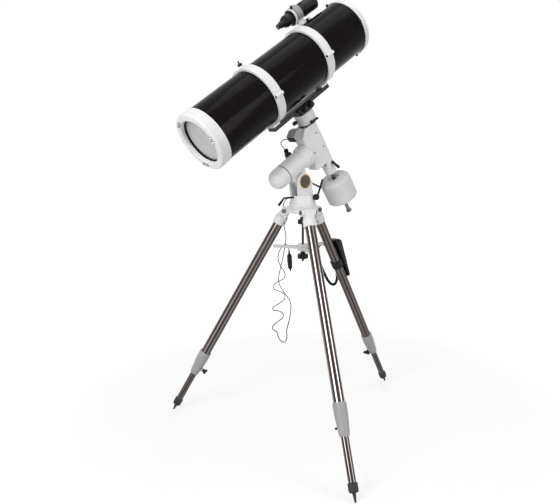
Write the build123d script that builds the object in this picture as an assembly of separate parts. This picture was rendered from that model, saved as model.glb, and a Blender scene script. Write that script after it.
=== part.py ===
from build123d import *
import os
from math import cos, pi, radians, sin, sqrt, tan

# Reflector telescope on a driven equatorial mount and a three-leg field tripod.
# Millimetres, +Z up, +Y north (the way the polar axis leans), floor at z = 0.
# Pieces are drawn round the tripod axis and moved together when they are written.
AXIS_X = -34.33
AXIS_Y = -40.37
GAP = 0.3

# tripod
HEAD_TOP = 1003.0
HEAD_RADIUS = 58.0
HINGE_RADIUS = 75.0
HINGE_HEIGHT = HEAD_TOP - 24.0
LEG_TILT = 30.12
BALL = 4.0
LEG_LENGTH = (HINGE_HEIGHT - BALL) / cos(radians(LEG_TILT))
LEG_TURNS = {"front": -23.85, "right": 96.15, "left": 216.15}
UPPER_TUBE = 22.25
LOWER_TUBE = 15.0
TUBE_WALL = 1.5
LEG_EAR = 19.0
SOCKET_END = 66.0
FOOT_HEIGHT = 65.1985
FOOT_TOP = LEG_LENGTH - FOOT_HEIGHT
LOWER_SHOWN = 161.0
CLAMP_END = FOOT_TOP - LOWER_SHOWN
CLAMP_TOP = CLAMP_END - 125.0
ROD = 5.0
ROD_TIP = HEAD_TOP - 244.0
ROD_KNOB = HEAD_TOP - 81.0
SPREADER_HEIGHT = HEAD_TOP - 183.0
SPREADER_REACH = 133.0

# fork and polar axis
LATITUDE = 32.84
PIVOT_Y = -14.5
PIVOT_Z = HEAD_TOP + 103.0
CROSS_Y = PIVOT_Y + 100.1
CROSS_Z = PIVOT_Z + 153.7
FORK_DECK = HEAD_TOP + 43.0
SCREW_LINE = HEAD_TOP + 37.0
FORK_HALF = 30.0
FORK_GAP = 19.0
POLAR_RADIUS = 42.0
POLAR_SEAM = -98.0
POLAR_END = -222.0
DOME_CENTRE = -257.0

# declination axis and counterweight
DEC_HALF = 32.0
DEC_TOP = -104.0
DEC_BOTTOM = 79.0
DEC_BACK = -80.0
AXLE = 20.0
SHAFT = 9.0
SHAFT_END = 352.0
WEIGHT_RADIUS = 70.0
WEIGHT_TOP = 176.0
WEIGHT_BOTTOM = 290.0
PUCK_RADIUS = 43.0
PUCK_TOP = -160.0

# optical tube, in its own frame (x, square to the bar, along the tube)
TUBE_RADIUS = 116.0
BAR_TOP = -190.0
BAR_BOTTOM = -174.0
RING_FOOT = 18.0
TUBE_OFFSET = BAR_TOP - RING_FOOT - TUBE_RADIUS
TUBE_BACK = -448.0
TUBE_FRONT = 392.0
RING_OUTER = TUBE_RADIUS + 9.0
RING_WIDTH = 37.0
RING_REAR = -178.0
RING_FRONT = 129.0
MIRROR_RADIUS = TUBE_RADIUS - 15.0
FOCUS_PLACE = TUBE_FRONT - 77.0
FOCUS_TURN = 10.0
EYEPIECE_RADIUS = 25.45
DRAW_RADIUS = EYEPIECE_RADIUS + 4.55
PINION = DRAW_RADIUS + 14.0
FINDER_TURN = 31.5
FINDER_OFFSET = TUBE_RADIUS + 56.0

# hanging cords, points round the tripod axis
CORD_RADIUS = 2.0
LEAD_RADIUS = 3.5
CORD_POINTS = [
    (-61.3, -14.67, 1030), (-84, -20, 1028), (-102, -23, 1006), (-109, -22, 968), (-110, -19, 930),
    (-106, -15, 889), (-102, -9, 857), (-105, -13, 821), (-111, -17, 780), (-116, -25, 735),
    (-122, -33, 696), (-127, -38, 656), (-119, -29, 617), (-99, -10, 583), (-85, 3, 550),
    (-87, 1, 508), (-92, -5, 463), (-101, -14, 420), (-95, -14, 388), (-104, -17, 363),
    (-127, -25, 362), (-136, -35, 386), (-133, -42, 413), (-153, -53, 419), (-174, -38, 426),
    (-163, -20, 447), (-136, -3, 469), (-139, 0, 492), (-153, -23, 506), (-171, -37, 504),
    (-191, -22, 513), (-172, -5, 528), (-141, 9, 551), (-134, 9, 579), (-145, -13, 596),
    (-165, -35, 604), (-170, -29, 629), (-145, -16, 645), (-124, -1, 660), (-123, 0, 686),
    (-137, -16, 714), (-144, -27, 751), (-135, -23, 789), (-118, -10, 818), (-98, -2, 818),
    (-91, -3, 794),
]
LEAD_POINTS = [
    (-54, 168.6, 809.5), (-78, 165, 800), (-95, 168, 766), (-95, 180, 724), (-90, 195, 684),
    (-84, 211, 646), (-82, 234, 608), (-81, 268, 588), (-88, 295, 612), (-90, 291, 648), (-70.2, 283.4, 670.3),
]

ALONG_X = Rot(0, 90, 0)
ALONG_Y = Rot(-90, 0, 0)
PLANE_X = (1, 0, 0)
POLE = (0, cos(radians(LATITUDE)), sin(radians(LATITUDE)))
MOUNT = Plane(origin=(0, CROSS_Y, CROSS_Z), x_dir=PLANE_X, z_dir=POLE).location
OPTICS = MOUNT * Pos(0, TUBE_OFFSET, 0)


def turned(*points):
    """Solid of revolution round Z from (radius, height) corners."""
    outline = Polyline(*[(r, 0, z) for r, z in points], close=True)
    return revolve(make_face(outline), Axis.Z)


def post(radius, low, high):
    """Cylinder on the Z axis from one height to another."""
    return Pos(0, 0, (low + high) / 2) * Cylinder(radius, abs(high - low))


def ring(outer, inner, low, high):
    """Plain tube on the Z axis."""
    return post(outer, low, high) - post(inner, low - 1, high + 1)


def block(x, y, z):
    """Box from its (low, high) pairs."""
    middle = [(low + high) / 2 for low, high in (x, y, z)]
    size = [high - low for low, high in (x, y, z)]
    return Pos(*middle) * Box(*size)


def rod(start, end, radius):
    """Round bar between two points."""
    run = Vector(*end) - Vector(*start)
    place = Plane(origin=start, z_dir=run).location
    return place * post(radius, 0, run.length)


def hull(*faces):
    """Flat outline wrapped round several flat shapes."""
    edges = []
    for face in faces:
        edges += list(face.edges())
    return make_hull(edges)


def knob(radius, low, high, lobes=7):
    """Hand knob on Z with scalloped grip."""
    grip = turned((0, low), (radius - 2, low), (radius, low + 2), (radius, high - 2), (radius - 2, high), (0, high))
    for k in range(lobes):
        turn = 2 * pi * k / lobes
        reach = radius * 1.22
        grip -= Pos(reach * cos(turn), reach * sin(turn), 0) * post(radius * 0.35, low - 1, high + 1)
    return grip


def leg_place(turn):
    """Frame of one leg: origin on its hinge, Z up the leg, X along the hinge bolt."""
    out = Vector(cos(radians(turn)), sin(radians(turn)), 0)
    bolt = Vector(-out.Y, out.X, 0)
    up = out * -sin(radians(LEG_TILT)) + Vector(0, 0, cos(radians(LEG_TILT)))
    hinge = out * HINGE_RADIUS + Vector(0, 0, HINGE_HEIGHT)
    return Plane(origin=hinge, x_dir=bolt, z_dir=up).location


def tripod_head():
    """Hub with three pairs of ears and the peg that the azimuth screws push against."""
    skirt = HEAD_RADIUS - 6
    low = HEAD_TOP - 33
    hub = turned((ROD + GAP, low), (skirt - 3, low), (skirt, low + 4), (skirt, HEAD_TOP - 14),
                 (HEAD_RADIUS, HEAD_TOP - 11), (HEAD_RADIUS, HEAD_TOP), (ROD + GAP, HEAD_TOP))
    outline = hull(Pos(HINGE_RADIUS, HINGE_HEIGHT) * Circle(16), Pos(42, HEAD_TOP - 17) * Rectangle(16, 32))
    ears = extrude(Plane.XZ * outline, amount=LEG_EAR + GAP + 10.7, both=True)
    slot = LEG_EAR + GAP
    ears -= block((55, HINGE_RADIUS + 45), (-slot, slot), (HINGE_HEIGHT - 39, HINGE_HEIGHT + 31))
    ears -= Pos(HINGE_RADIUS, 0, HINGE_HEIGHT) * ALONG_Y * post(6, -40, 40)
    ears -= post(40, HEAD_TOP - 103, HEAD_TOP + 97)
    for turn in LEG_TURNS.values():
        hub += Rot(0, 0, turn) * ears
    return hub + Pos(0, 30, 0) * post(6, HEAD_TOP - 5, HEAD_TOP + 33)


def leg_bolts():
    """Three hinge bolts with a head at each end."""
    side = LEG_EAR + GAP + 10.7
    bolt = post(5.9, -side - 5, side + 5) + post(9, side, side + 6) + post(9, -side - 6, -side)
    bolt = Pos(HINGE_RADIUS, 0, HINGE_HEIGHT) * ALONG_Y * bolt
    bolts = Rot(0, 0, LEG_TURNS["front"]) * bolt
    bolts += Rot(0, 0, LEG_TURNS["right"]) * bolt
    bolts += Rot(0, 0, LEG_TURNS["left"]) * bolt
    return bolts


def leg_castings():
    """Hinged top socket and the clamp at the lower end of the upper tube."""
    outline = hull(Circle(17), Pos(0, -36) * Rectangle(40, 8))
    cup = UPPER_TUBE + 5.75
    top = extrude(Plane.YZ * outline, amount=LEG_EAR, both=True)
    top += turned((0, -28), (cup - 2, -28), (cup, -34), (cup, 3 - SOCKET_END), (cup - 2, -SOCKET_END),
                  (0, -SOCKET_END))
    top -= post(UPPER_TUBE + 0.05, -SOCKET_END - 1, -32)
    top -= ALONG_X * post(6.1, -30, 30)
    bore = LOWER_TUBE + GAP
    shoulder = -CLAMP_TOP - 60
    clamp = turned((UPPER_TUBE + 0.05, -CLAMP_TOP), (UPPER_TUBE + 3.25, -CLAMP_TOP),
                   (UPPER_TUBE + 4.75, -CLAMP_TOP - 8), (UPPER_TUBE + 4.25, -CLAMP_TOP - 50),
                   (LOWER_TUBE + 6.5, 14 - CLAMP_END), (LOWER_TUBE + 4.5, -CLAMP_END),
                   (bore, -CLAMP_END), (bore, shoulder), (UPPER_TUBE + 0.05, shoulder))
    clamp += Pos(0, 0, 33 - CLAMP_END) * ALONG_Y * post(8, LOWER_TUBE + 2, LOWER_TUBE + 16)
    clamp -= Pos(0, 0, 33 - CLAMP_END) * ALONG_Y * post(4.2, 10, 40)
    return top + clamp


def leg_upper():
    """Polished upper tube, pressed into the socket and the clamp."""
    return ring(UPPER_TUBE, UPPER_TUBE - TUBE_WALL, -CLAMP_TOP - 60, -32)


def leg_lower():
    """Sliding lower tube with guide collar, foot cap and floor point."""
    tip = -LEG_LENGTH
    inner = LOWER_TUBE - TUBE_WALL
    guide = UPPER_TUBE - TUBE_WALL - GAP - 0.05
    top = 216 - CLAMP_TOP
    cap = LOWER_TUBE + 4
    leg = turned((inner, top), (guide, top), (guide, top - 12), (LOWER_TUBE, top - 13), (LOWER_TUBE, -FOOT_TOP),
                 (cap, -FOOT_TOP - 3), (cap, -FOOT_TOP - 29), (cap - 3, -FOOT_TOP - 35), (7, -FOOT_TOP - 37),
                 (BALL, tip), (0, tip), (0, -FOOT_TOP - 18), (inner, -FOOT_TOP - 18))
    return leg + Pos(0, 0, tip) * Sphere(BALL)


def leg_screw():
    """Wing screw that locks the lower tube."""
    screw = post(4, LOWER_TUBE + 0.6, LOWER_TUBE + 25) + post(8, LOWER_TUBE + 16.5, LOWER_TUBE + 27)
    wing = extrude(Plane.XY * hull(Pos(14, 0) * Circle(4.5), Pos(-14, 0) * Circle(4.5)), amount=10)
    screw += Pos(0, 0, LOWER_TUBE + 24) * wing
    return Pos(0, 0, 33 - CLAMP_END) * ALONG_Y * screw


def centre_rod():
    """Rod that pulls the mount on to the head, with its hand knob."""
    bar = post(ROD, ROD_TIP, HEAD_TOP + 14)
    bar += knob(ROD + 17, ROD_KNOB, ROD_KNOB + 20)
    return bar + turned((0, ROD_KNOB + 19), (ROD + 9, ROD_KNOB + 19), (ROD + 5, ROD_KNOB + 30), (0, ROD_KNOB + 30))


def spreader():
    """Three-arm spreader on a deep hub."""
    low = SPREADER_HEIGHT - 6
    tip = 6.0
    plate = Pos(0, 0, low - 8) * extrude(Circle(24), amount=28)
    for turn in LEG_TURNS.values():
        arm = hull(Circle(20), Pos(SPREADER_REACH - tip, 0) * Circle(tip))
        arm -= hull(Pos(42, 0) * Circle(6), Pos(100, 0) * Circle(3))
        plate += Rot(0, 0, turn) * Pos(0, 0, low) * extrude(arm, amount=12)
    return plate - post(ROD + GAP, low - 20, low + 40)


def spreader_knob():
    """Knob below the spreader."""
    low = SPREADER_HEIGHT - 49
    grip = knob(23.5, low, low + 20) + post(11, low + 19, low + 34.7)
    return grip - post(ROD + GAP, low - 5, low + 50)


def fork():
    """Turning base with the two cheeks that carry the altitude axle."""
    base = HEAD_TOP + GAP
    drum = turned((ROD + GAP, base), (HEAD_RADIUS, base), (HEAD_RADIUS, base + 11), (HEAD_RADIUS - 3, base + 15),
                  (HEAD_RADIUS - 7, FORK_DECK), (ROD + GAP, FORK_DECK))
    outline = hull(Pos(PIVOT_Y, PIVOT_Z) * Circle(36), Pos(-4, FORK_DECK - 4) * Rectangle(80, 8))
    boss = hull(Pos(PIVOT_Y, PIVOT_Z) * Circle(20), Pos(25, PIVOT_Z - 6) * Circle(10))
    cheeks = extrude(Plane.YZ * outline, amount=FORK_HALF, both=True)
    cheeks += extrude(Plane.YZ * boss, amount=FORK_HALF - 4, both=True)
    crown = PIVOT_Z + 54
    cheeks -= block((-FORK_GAP, FORK_GAP), (-90, 15), (FORK_DECK, crown))
    cheeks -= block((-FORK_GAP, FORK_GAP), (14, 90), (FORK_DECK, PIVOT_Z - 18))
    cheeks -= block((-FORK_GAP, FORK_GAP), (14, 90), (PIVOT_Z + 6, crown))
    body = drum + cheeks
    body -= block((-FORK_GAP, FORK_GAP), (-42, 26), (FORK_DECK - 24, FORK_DECK + 1))
    flat = HEAD_RADIUS - 10
    body -= block((flat, flat + 32), (8, 60), (HEAD_TOP + 16, FORK_DECK + 14))
    body -= block((-flat - 32, -flat), (8, 60), (HEAD_TOP + 16, FORK_DECK + 14))
    body -= Pos(0, 30, 0) * post(12, HEAD_TOP - 3, SCREW_LINE + 1)
    body -= Pos(0, 27, SCREW_LINE) * ALONG_X * post(5.3, -80, 80)
    body -= Pos(0, PIVOT_Y, PIVOT_Z) * ALONG_X * post(9.1, -60, 60)
    body -= rod((0, -HEAD_RADIUS - 12, SCREW_LINE), (0, -20, SCREW_LINE), 4.3)
    body -= rod((0, 4, PIVOT_Z + 7), (0, 100, PIVOT_Z - 32), 4.3)
    level = HEAD_TOP + 27
    socket = rod((8 - HEAD_RADIUS, -12, level), (-3 - HEAD_RADIUS, -14.6, level), 8)
    return body + socket


def altitude_axle():
    """Axle through both cheeks with a round cap on each side."""
    axle = post(9, -FORK_HALF - 1, FORK_HALF + 1)
    cap = turned((0, 0), (35, 0), (35, 2), (33, 3.5), (0, 3.5))
    axle += Pos(0, 0, FORK_HALF) * cap
    axle += Pos(0, 0, -FORK_HALF) * Rot(180, 0, 0) * cap
    return Pos(0, PIVOT_Y, PIVOT_Z) * ALONG_X * axle


def azimuth_knobs():
    """Two opposed screws on one line that push the peg east or west."""
    flat = HEAD_RADIUS - 10
    side = post(5, 11, flat + 2) + knob(13.5, flat + 1, flat + 16, 8)
    both = ALONG_X * side + Rot(0, 0, 180) * ALONG_X * side
    return Pos(0, 27, SCREW_LINE) * both


def altitude_bolt_south():
    """Cranked bolt that pushes the tooth of the polar housing."""
    bend = -HEAD_RADIUS - 44
    bolt = rod((0, PIVOT_Y - 10, SCREW_LINE), (0, bend, SCREW_LINE), 4)
    bolt += rod((0, bend, SCREW_LINE), (0, bend - 20, SCREW_LINE - 20), 4)
    bolt += Pos(0, bend, SCREW_LINE) * Sphere(4)
    return bolt + rod((0, bend - 14, SCREW_LINE - 14), (0, bend - 29, SCREW_LINE - 29), 5.5)


def altitude_bolt_north():
    """Bolt with a cross handle on the north side."""
    start = Vector(0, 13, PIVOT_Z + 3.3)
    end = Vector(0, 101, PIVOT_Z - 32.4)
    bolt = rod(start, end, 4)
    run = (end - start).normalized()
    across = Vector(0, -run.Z, run.Y)
    bolt += rod(end + across * 36, end - across * 36, 4.5)
    return bolt + Pos(*end) * Sphere(6.5)


def ra_housing():
    """Polar housing with the lug and tooth that sit in the fork."""
    seam = POLAR_SEAM - GAP
    radius = POLAR_RADIUS
    body = turned((AXLE + GAP, seam), (47, seam), (48, seam - 3), (48, seam - 12), (radius, seam - 19),
                  (radius, POLAR_END), (0, POLAR_END), (0, -172), (AXLE + GAP, -172))
    offset = Vector(0, PIVOT_Y - CROSS_Y, PIVOT_Z - CROSS_Z)
    along = offset.dot(Vector(*POLE))
    down = offset.dot(Vector(0, POLE[2], -POLE[1]))
    outline = hull(Pos(down, along) * Circle(26), Pos(24, -170) * Rectangle(20, 84))
    lug = extrude(Plane.YZ * outline, amount=FORK_GAP - 0.5, both=True)
    lug -= post(radius - 4, -230, -90)
    housing = MOUNT * (body + lug)
    housing += block((-13, 13), (PIVOT_Y - 7, PIVOT_Y + 7), (SCREW_LINE - 10, PIVOT_Z))
    housing -= Pos(0, PIVOT_Y, PIVOT_Z) * ALONG_X * post(9.3, -60, 60)
    return housing - MOUNT * Pos(0, 0, -135) * ALONG_X * post(5.2, -60, -30)


def polar_cap():
    """Domed cover on the low end of the polar axis."""
    radius = POLAR_RADIUS
    slope = radius * sqrt(0.5)
    outline = Polyline((0, 0, POLAR_END), (radius - 1.5, 0, POLAR_END), (radius - 1.5, 0, POLAR_END - 3),
                       (radius, 0, POLAR_END - 4), (radius, 0, DOME_CENTRE))
    arc = ThreePointArc((radius, 0, DOME_CENTRE), (slope, 0, DOME_CENTRE - slope), (0, 0, DOME_CENTRE - radius))
    back = Line((0, 0, DOME_CENTRE - radius), (0, 0, POLAR_END))
    face = make_face(outline.edges() + arc.edges() + back.edges())
    return MOUNT * revolve(face, Axis.Z)


def ra_clutch_lever():
    """Clamp lever of the polar axis."""
    lever = ALONG_X * (post(5, -44, -32) + post(8, -58, -43.6))
    lever += rod((-53, 0, 0), (-53, -34, 0), 4.5) + Pos(-53, -36, 0) * Sphere(6)
    return MOUNT * Pos(0, 0, -135) * lever


def dec_housing():
    """Moving head of the polar axis with the declination housing cast on."""
    outline = Pos(0, DEC_BACK / 2) * Rectangle(2 * DEC_HALF, -DEC_BACK) + Circle(DEC_HALF)
    body = extrude(Plane.XZ.offset(-DEC_BOTTOM) * outline, amount=DEC_BOTTOM - DEC_TOP)
    corner = Polyline((0, DEC_TOP - 1, -53), (0, DEC_TOP - 1, DEC_BACK - 1), (0, -73, DEC_BACK - 1), close=True)
    body -= extrude(make_face(corner), amount=60, both=True)
    body = chamfer(body.edges().filter_by(Axis.Y).group_by(Axis.Z)[0], 5)
    body += turned((0, POLAR_SEAM), (49, POLAR_SEAM), (50, POLAR_SEAM + 3), (50, POLAR_SEAM + 14),
                   (45, POLAR_SEAM + 20), (0, POLAR_SEAM + 20))
    body += post(AXLE, -168, POLAR_SEAM + 1)
    body += ALONG_Y * turned((0, DEC_BOTTOM - 5), (31, DEC_BOTTOM - 5), (31, 104), (28, 108), (27, 142),
                             (24, 148), (0, 148))
    body -= ALONG_Y * post(SHAFT + GAP, 20, 160)
    body -= ALONG_Y * post(AXLE + GAP, DEC_TOP - 10, -40)
    return MOUNT * (body - Pos(0, 98, 6) * ALONG_X * post(4.2, SHAFT + 3, 40))


def dec_motor_box():
    """Motor cover on the chamfered back of the declination housing."""
    outline = Polyline((0, DEC_TOP - 1, -53), (0, -118, -65), (0, -121, -86), (0, -106, -112), (0, -86, -108),
                       (0, -73, DEC_BACK - 1), close=True)
    box = extrude(make_face(outline), amount=26, both=True)
    return MOUNT * Pos(-4, 0, 0) * chamfer(box.faces().sort_by(Axis.X)[0].edges(), 4)


def shaft_lock_lever():
    """Lever screw that holds the counterweight shaft."""
    lever = ALONG_X * (post(4, SHAFT + 4, 33) + post(7.5, 31.5, 38))
    lever += rod((35, 0, 0), (55, 21, 0), 4) + Pos(57, 23, 0) * Sphere(6)
    return MOUNT * Pos(0, 98, 6) * lever


def counterweight_shaft():
    """Steel shaft with its end stop."""
    stop = SHAFT + 4
    shaft = turned((0, 42), (SHAFT, 42), (SHAFT, SHAFT_END), (stop, SHAFT_END + 1), (stop, SHAFT_END + 10),
                   (stop - 2, SHAFT_END + 12), (0, SHAFT_END + 12))
    return MOUNT * ALONG_Y * shaft


def counterweight():
    """Cast weight with rounded rims and a recess round the shaft."""
    top, low, radius = WEIGHT_TOP, WEIGHT_BOTTOM, WEIGHT_RADIUS
    weight = turned((SHAFT + GAP, top + 8), (SHAFT + 15, top + 8), (SHAFT + 18, top), (radius - 14, top),
                    (radius - 5, top + 4), (radius, top + 14), (radius, low - 10), (radius - 3, low - 4),
                    (radius - 10, low), (SHAFT + GAP, low))
    weight -= Pos(0, 0, (top + low) / 2) * ALONG_X * post(5.3, -90, 0)
    return MOUNT * ALONG_Y * weight


def weight_knob():
    """Screw that grips the shaft through the weight."""
    screw = post(5, -WEIGHT_RADIUS - 4, -SHAFT - 0.6)
    screw += Pos(0, 0, -WEIGHT_RADIUS - 16) * knob(13, 0, 15)
    return MOUNT * ALONG_Y * Pos(0, 0, (WEIGHT_TOP + WEIGHT_BOTTOM) / 2) * ALONG_X * screw


def saddle():
    """Turning puck of the declination axis with its axle."""
    seat = DEC_TOP - GAP
    puck = turned((0, -42), (AXLE, -42), (AXLE, seat), (37, seat), (PUCK_RADIUS, seat - 7),
                  (PUCK_RADIUS, PUCK_TOP + 3), (PUCK_RADIUS - 3, PUCK_TOP), (0, PUCK_TOP))
    return MOUNT * (ALONG_Y * puck - Pos(0, -116, -14) * ALONG_X * post(4.2, 28, 60))


def saddle_clamp():
    """Clamp head with the dovetail channel."""
    outline = hull(Pos(26, 30) * Circle(14), Pos(-26, 30) * Circle(14), Pos(26, -30) * Circle(14),
                   Pos(-26, -30) * Circle(14))
    body = extrude(Plane.XZ.offset(-PUCK_TOP) * outline, amount=BAR_BOTTOM - BAR_TOP + 10)
    low = BAR_BOTTOM + GAP
    channel = Polyline((22.4, low, 0), (-22.4, low, 0), (-20.2, BAR_TOP - 2, 0), (20.2, BAR_TOP - 2, 0), close=True)
    body -= extrude(make_face(channel), amount=80, both=True)
    body -= Pos(0, -180, 18) * ALONG_X * post(3.7, 10, 60)
    return MOUNT * (body - Pos(0, -180, -18) * ALONG_X * post(3.7, 10, 60))


def saddle_knob(place):
    """Clamp screw of the saddle."""
    screw = ALONG_X * (post(3.5, 22.2, 46) + knob(12, 41, 60))
    return MOUNT * Pos(0, -180, place) * screw


def dec_clutch_lever():
    """Clamp lever of the declination axis."""
    lever = ALONG_X * (post(4, 30, 46) + post(7, 44, 52))
    lever += rod((48, 0, 0), (49, 2, 30), 4) + Pos(49, 2, 31) * Sphere(5.5)
    return MOUNT * Pos(0, -116, -14) * lever


def dovetail_bar():
    """Long dovetail bar under the tube rings."""
    outline = Polyline((22, BAR_BOTTOM, 0), (-22, BAR_BOTTOM, 0), (-20, BAR_TOP, 0), (20, BAR_TOP, 0), close=True)
    start = RING_REAR
    bar = Pos(0, 0, start) * extrude(make_face(outline), amount=RING_FRONT + RING_WIDTH + 2 - start, dir=(0, 0, 1))
    return MOUNT * bar


HINGE_REACH = RING_OUTER + 4.0
LUG_REACH = RING_OUTER + 12.0
PIN = 3.0


def half_ring(low, upper):
    """One half of a tube ring with its share of the hinge and its clamp lug."""
    high = low + RING_WIDTH
    third = RING_WIDTH / 3
    side = -1 if upper else 1
    half = ring(RING_OUTER, TUBE_RADIUS + 0.5, low, high)
    half -= block((-200, 200), sorted((0, -side * 200)), (low - 1, high + 1))
    half -= block((-200, 0), sorted((-0.15, 0.15)), (low - 1, high + 1))
    lug = block((-LUG_REACH - 9, -LUG_REACH + 19), sorted((side * 0.15, side * 9)), (low + 8, high - 8))
    half += lug - post(TUBE_RADIUS + 0.5, low - 1, high + 1)
    half -= Pos(-LUG_REACH, 0, (low + high) / 2) * ALONG_Y * post(PIN + 0.6, -20, 20)
    spans = [(low, low + third), (low + third, high - third), (high - third, high)]
    for index, (bottom, top) in enumerate(spans):
        own = (index == 1) != upper
        if own:
            half += Pos(HINGE_REACH, 0, 0) * post(7, bottom + 0.2, top - 0.2)
        else:
            half -= Pos(HINGE_REACH, 0, 0) * post(7.4, bottom - 0.2, top + 0.2)
    half -= post(TUBE_RADIUS + 0.5, low - 1, high + 1)
    if upper:
        return half - Pos(HINGE_REACH, 0, 0) * post(PIN + 0.2, low - 1, high + 1)
    half += Pos(HINGE_REACH, 0, 0) * post(PIN, low, high)
    foot = block((-22, 22), (TUBE_RADIUS + 4, BAR_TOP - TUBE_OFFSET), (low, high))
    return half + foot


def rings_lower():
    """Lower halves of both tube rings, each on its foot."""
    return OPTICS * (half_ring(RING_REAR, False) + half_ring(RING_FRONT, False))


PIGGY_TURN = 8.0


def ring_upper(low, stud):
    """Upper half of a tube ring; the rear one has the camera stud's boss."""
    half = half_ring(low, True)
    if stud:
        boss = Pos(0, 0, low + RING_WIDTH / 2) * Rot(90, 0, 0) * post(9, TUBE_RADIUS + 4, RING_OUTER + 6)
        half += Rot(0, 0, -PIGGY_TURN) * boss
    return OPTICS * half


def ring_knob(low):
    """Captive clamp screw and knob of a tube ring."""
    screw = post(PIN, -12, 18) + knob(12, 10, 26)
    return OPTICS * Pos(-LUG_REACH, 0, low + RING_WIDTH / 2) * Rot(90, 0, 0) * screw


def piggyback_knob():
    """Thumb wheel with the quarter-inch camera stud."""
    wheel = knob(10, RING_OUTER + 6.3, RING_OUTER + 15, 9) + post(3.175, RING_OUTER + 14, RING_OUTER + 25)
    return OPTICS * Rot(0, 0, -PIGGY_TURN) * Pos(0, 0, RING_REAR + RING_WIDTH / 2) * Rot(90, 0, 0) * wheel


FOCUSER = Plane(origin=(0, 0, FOCUS_PLACE), x_dir=(0, 0, 1),
                z_dir=(-cos(radians(FOCUS_TURN)), sin(radians(FOCUS_TURN)), 0)).location
FINDER = Plane(origin=(0, 0, 0), x_dir=(0, 0, 1),
               z_dir=(-sin(radians(FINDER_TURN)), -cos(radians(FINDER_TURN)), 0)).location


def main_tube():
    """Rolled steel tube with the focuser opening."""
    shell = ring(TUBE_RADIUS, TUBE_RADIUS - TUBE_WALL, TUBE_BACK, TUBE_FRONT)
    return OPTICS * (shell - FOCUSER * post(DRAW_RADIUS + 3, TUBE_RADIUS - 26, TUBE_RADIUS + 14))


def front_ring():
    """Pressed ring on the open end."""
    sleeve = TUBE_RADIUS + 0.05
    end = TUBE_FRONT
    rim = TUBE_RADIUS + 4.5
    lip = TUBE_RADIUS - 4
    return OPTICS * turned((sleeve, end - 7), (rim - 1, end - 7), (rim, end - 5), (rim, end + 12),
                           (rim - 2.5, end + 16), (lip + 1, end + 16), (lip, end + 14), (lip, end), (sleeve, end))


SCREW_TURNS = [-8.0, 112.0, 232.0]
SCREW_REACH = TUBE_RADIUS - 15.0


def screw_places():
    """Places of the six mirror screws."""
    places = []
    for turn in SCREW_TURNS:
        for step in (-5.0, 5.0):
            angle = radians(turn + step)
            places.append(Pos(SCREW_REACH * cos(angle), SCREW_REACH * sin(angle), 0))
    return places


def rear_ring():
    """Cast rear ring with the open back."""
    sleeve = TUBE_RADIUS + 0.05
    back = TUBE_BACK
    rim = TUBE_RADIUS + 3
    lip = TUBE_RADIUS - 26
    seat = TUBE_RADIUS - 5
    cast = turned((sleeve, back + 8), (rim - 0.5, back + 8), (rim, back + 6), (rim, back - 32), (rim - 2, back - 36),
                  (rim - 6, back - 38), (lip + 5, back - 38), (lip + 1, back - 36), (lip, back - 32),
                  (lip, back - 24), (seat, back - 24), (seat, back), (sleeve, back))
    for place in screw_places():
        cast -= place * post(4.2, back - 50, back)
    return OPTICS * cast


def mirror_cell():
    """Cup that carries the mirror on the six screws."""
    floor = TUBE_BACK - 14
    rim = TUBE_RADIUS - 8
    cell = turned((0, floor), (rim, floor), (rim, floor + 24), (MIRROR_RADIUS + 0.4, floor + 24),
                  (MIRROR_RADIUS + 0.4, floor + 8), (0, floor + 8))
    return OPTICS * cell


def primary_mirror():
    """Concave glass disc."""
    back = TUBE_BACK - 6
    rim = back + 25
    outline = Polyline((0, 0, rim - 2.6), (0, 0, back), (MIRROR_RADIUS, 0, back), (MIRROR_RADIUS, 0, rim))
    curve = (MIRROR_RADIUS ** 2 + 2.6 ** 2) / 5.2
    middle = rim - 2.6 + curve - sqrt(curve ** 2 - MIRROR_RADIUS ** 2 / 4)
    arc = ThreePointArc((MIRROR_RADIUS, 0, rim), (MIRROR_RADIUS / 2, 0, middle), (0, 0, rim - 2.6))
    return OPTICS * revolve(make_face(outline.edges() + arc.edges()), Axis.Z)


def collimation_screws():
    """Three pairs of mirror screws."""
    back = TUBE_BACK - 38
    screws = None
    for place in screw_places():
        screw = place * (post(4, back, TUBE_BACK - 14) + post(6, back - 8, back))
        screws = screw if screws is None else screws + screw
    return OPTICS * screws


def spider():
    """Four thin vanes on a hub."""
    hub = post(16, TUBE_FRONT - 30, TUBE_FRONT - 4) + post(7, TUBE_FRONT - 52, TUBE_FRONT - 29)
    reach = TUBE_RADIUS - TUBE_WALL - GAP
    for turn in (-14, 76, 166, 256):
        hub += Rot(0, 0, turn) * block((10, reach), (-0.8, 0.8), (TUBE_FRONT - 29, TUBE_FRONT - 5))
    return OPTICS * hub


def secondary_mirror():
    """Holder cut at half a right angle with the flat mirror on the cut."""
    holder = post(25, FOCUS_PLACE - 30, TUBE_FRONT - 52)
    aim = Vector(-cos(radians(FOCUS_TURN)), sin(radians(FOCUS_TURN)), -1)
    cut = Plane(origin=(0, 0, FOCUS_PLACE), z_dir=aim).location * post(90, 0, 120)
    return OPTICS * (holder - cut)


def focuser_body():
    """Focuser base shaped to the tube, barrel and pinion housing."""
    barrel = DRAW_RADIUS + 7
    wall = TUBE_RADIUS
    body = block((-46, 46), (-barrel - 3, barrel + 3), (wall - 26, wall + 8)) + post(barrel, wall + 4, wall + 47)
    body += block((-22, 22), (barrel - 9, PINION + 9), (wall + 20, wall + 38))
    body = FOCUSER * body
    body -= post(TUBE_RADIUS + 0.05, FOCUS_PLACE - 90, FOCUS_PLACE + 90)
    body -= FOCUSER * post(DRAW_RADIUS + GAP, wall - 56, wall + 84)
    return OPTICS * (body - FOCUSER * Pos(0, PINION, wall + 29) * ALONG_X * post(3.2, -60, 60))


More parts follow.
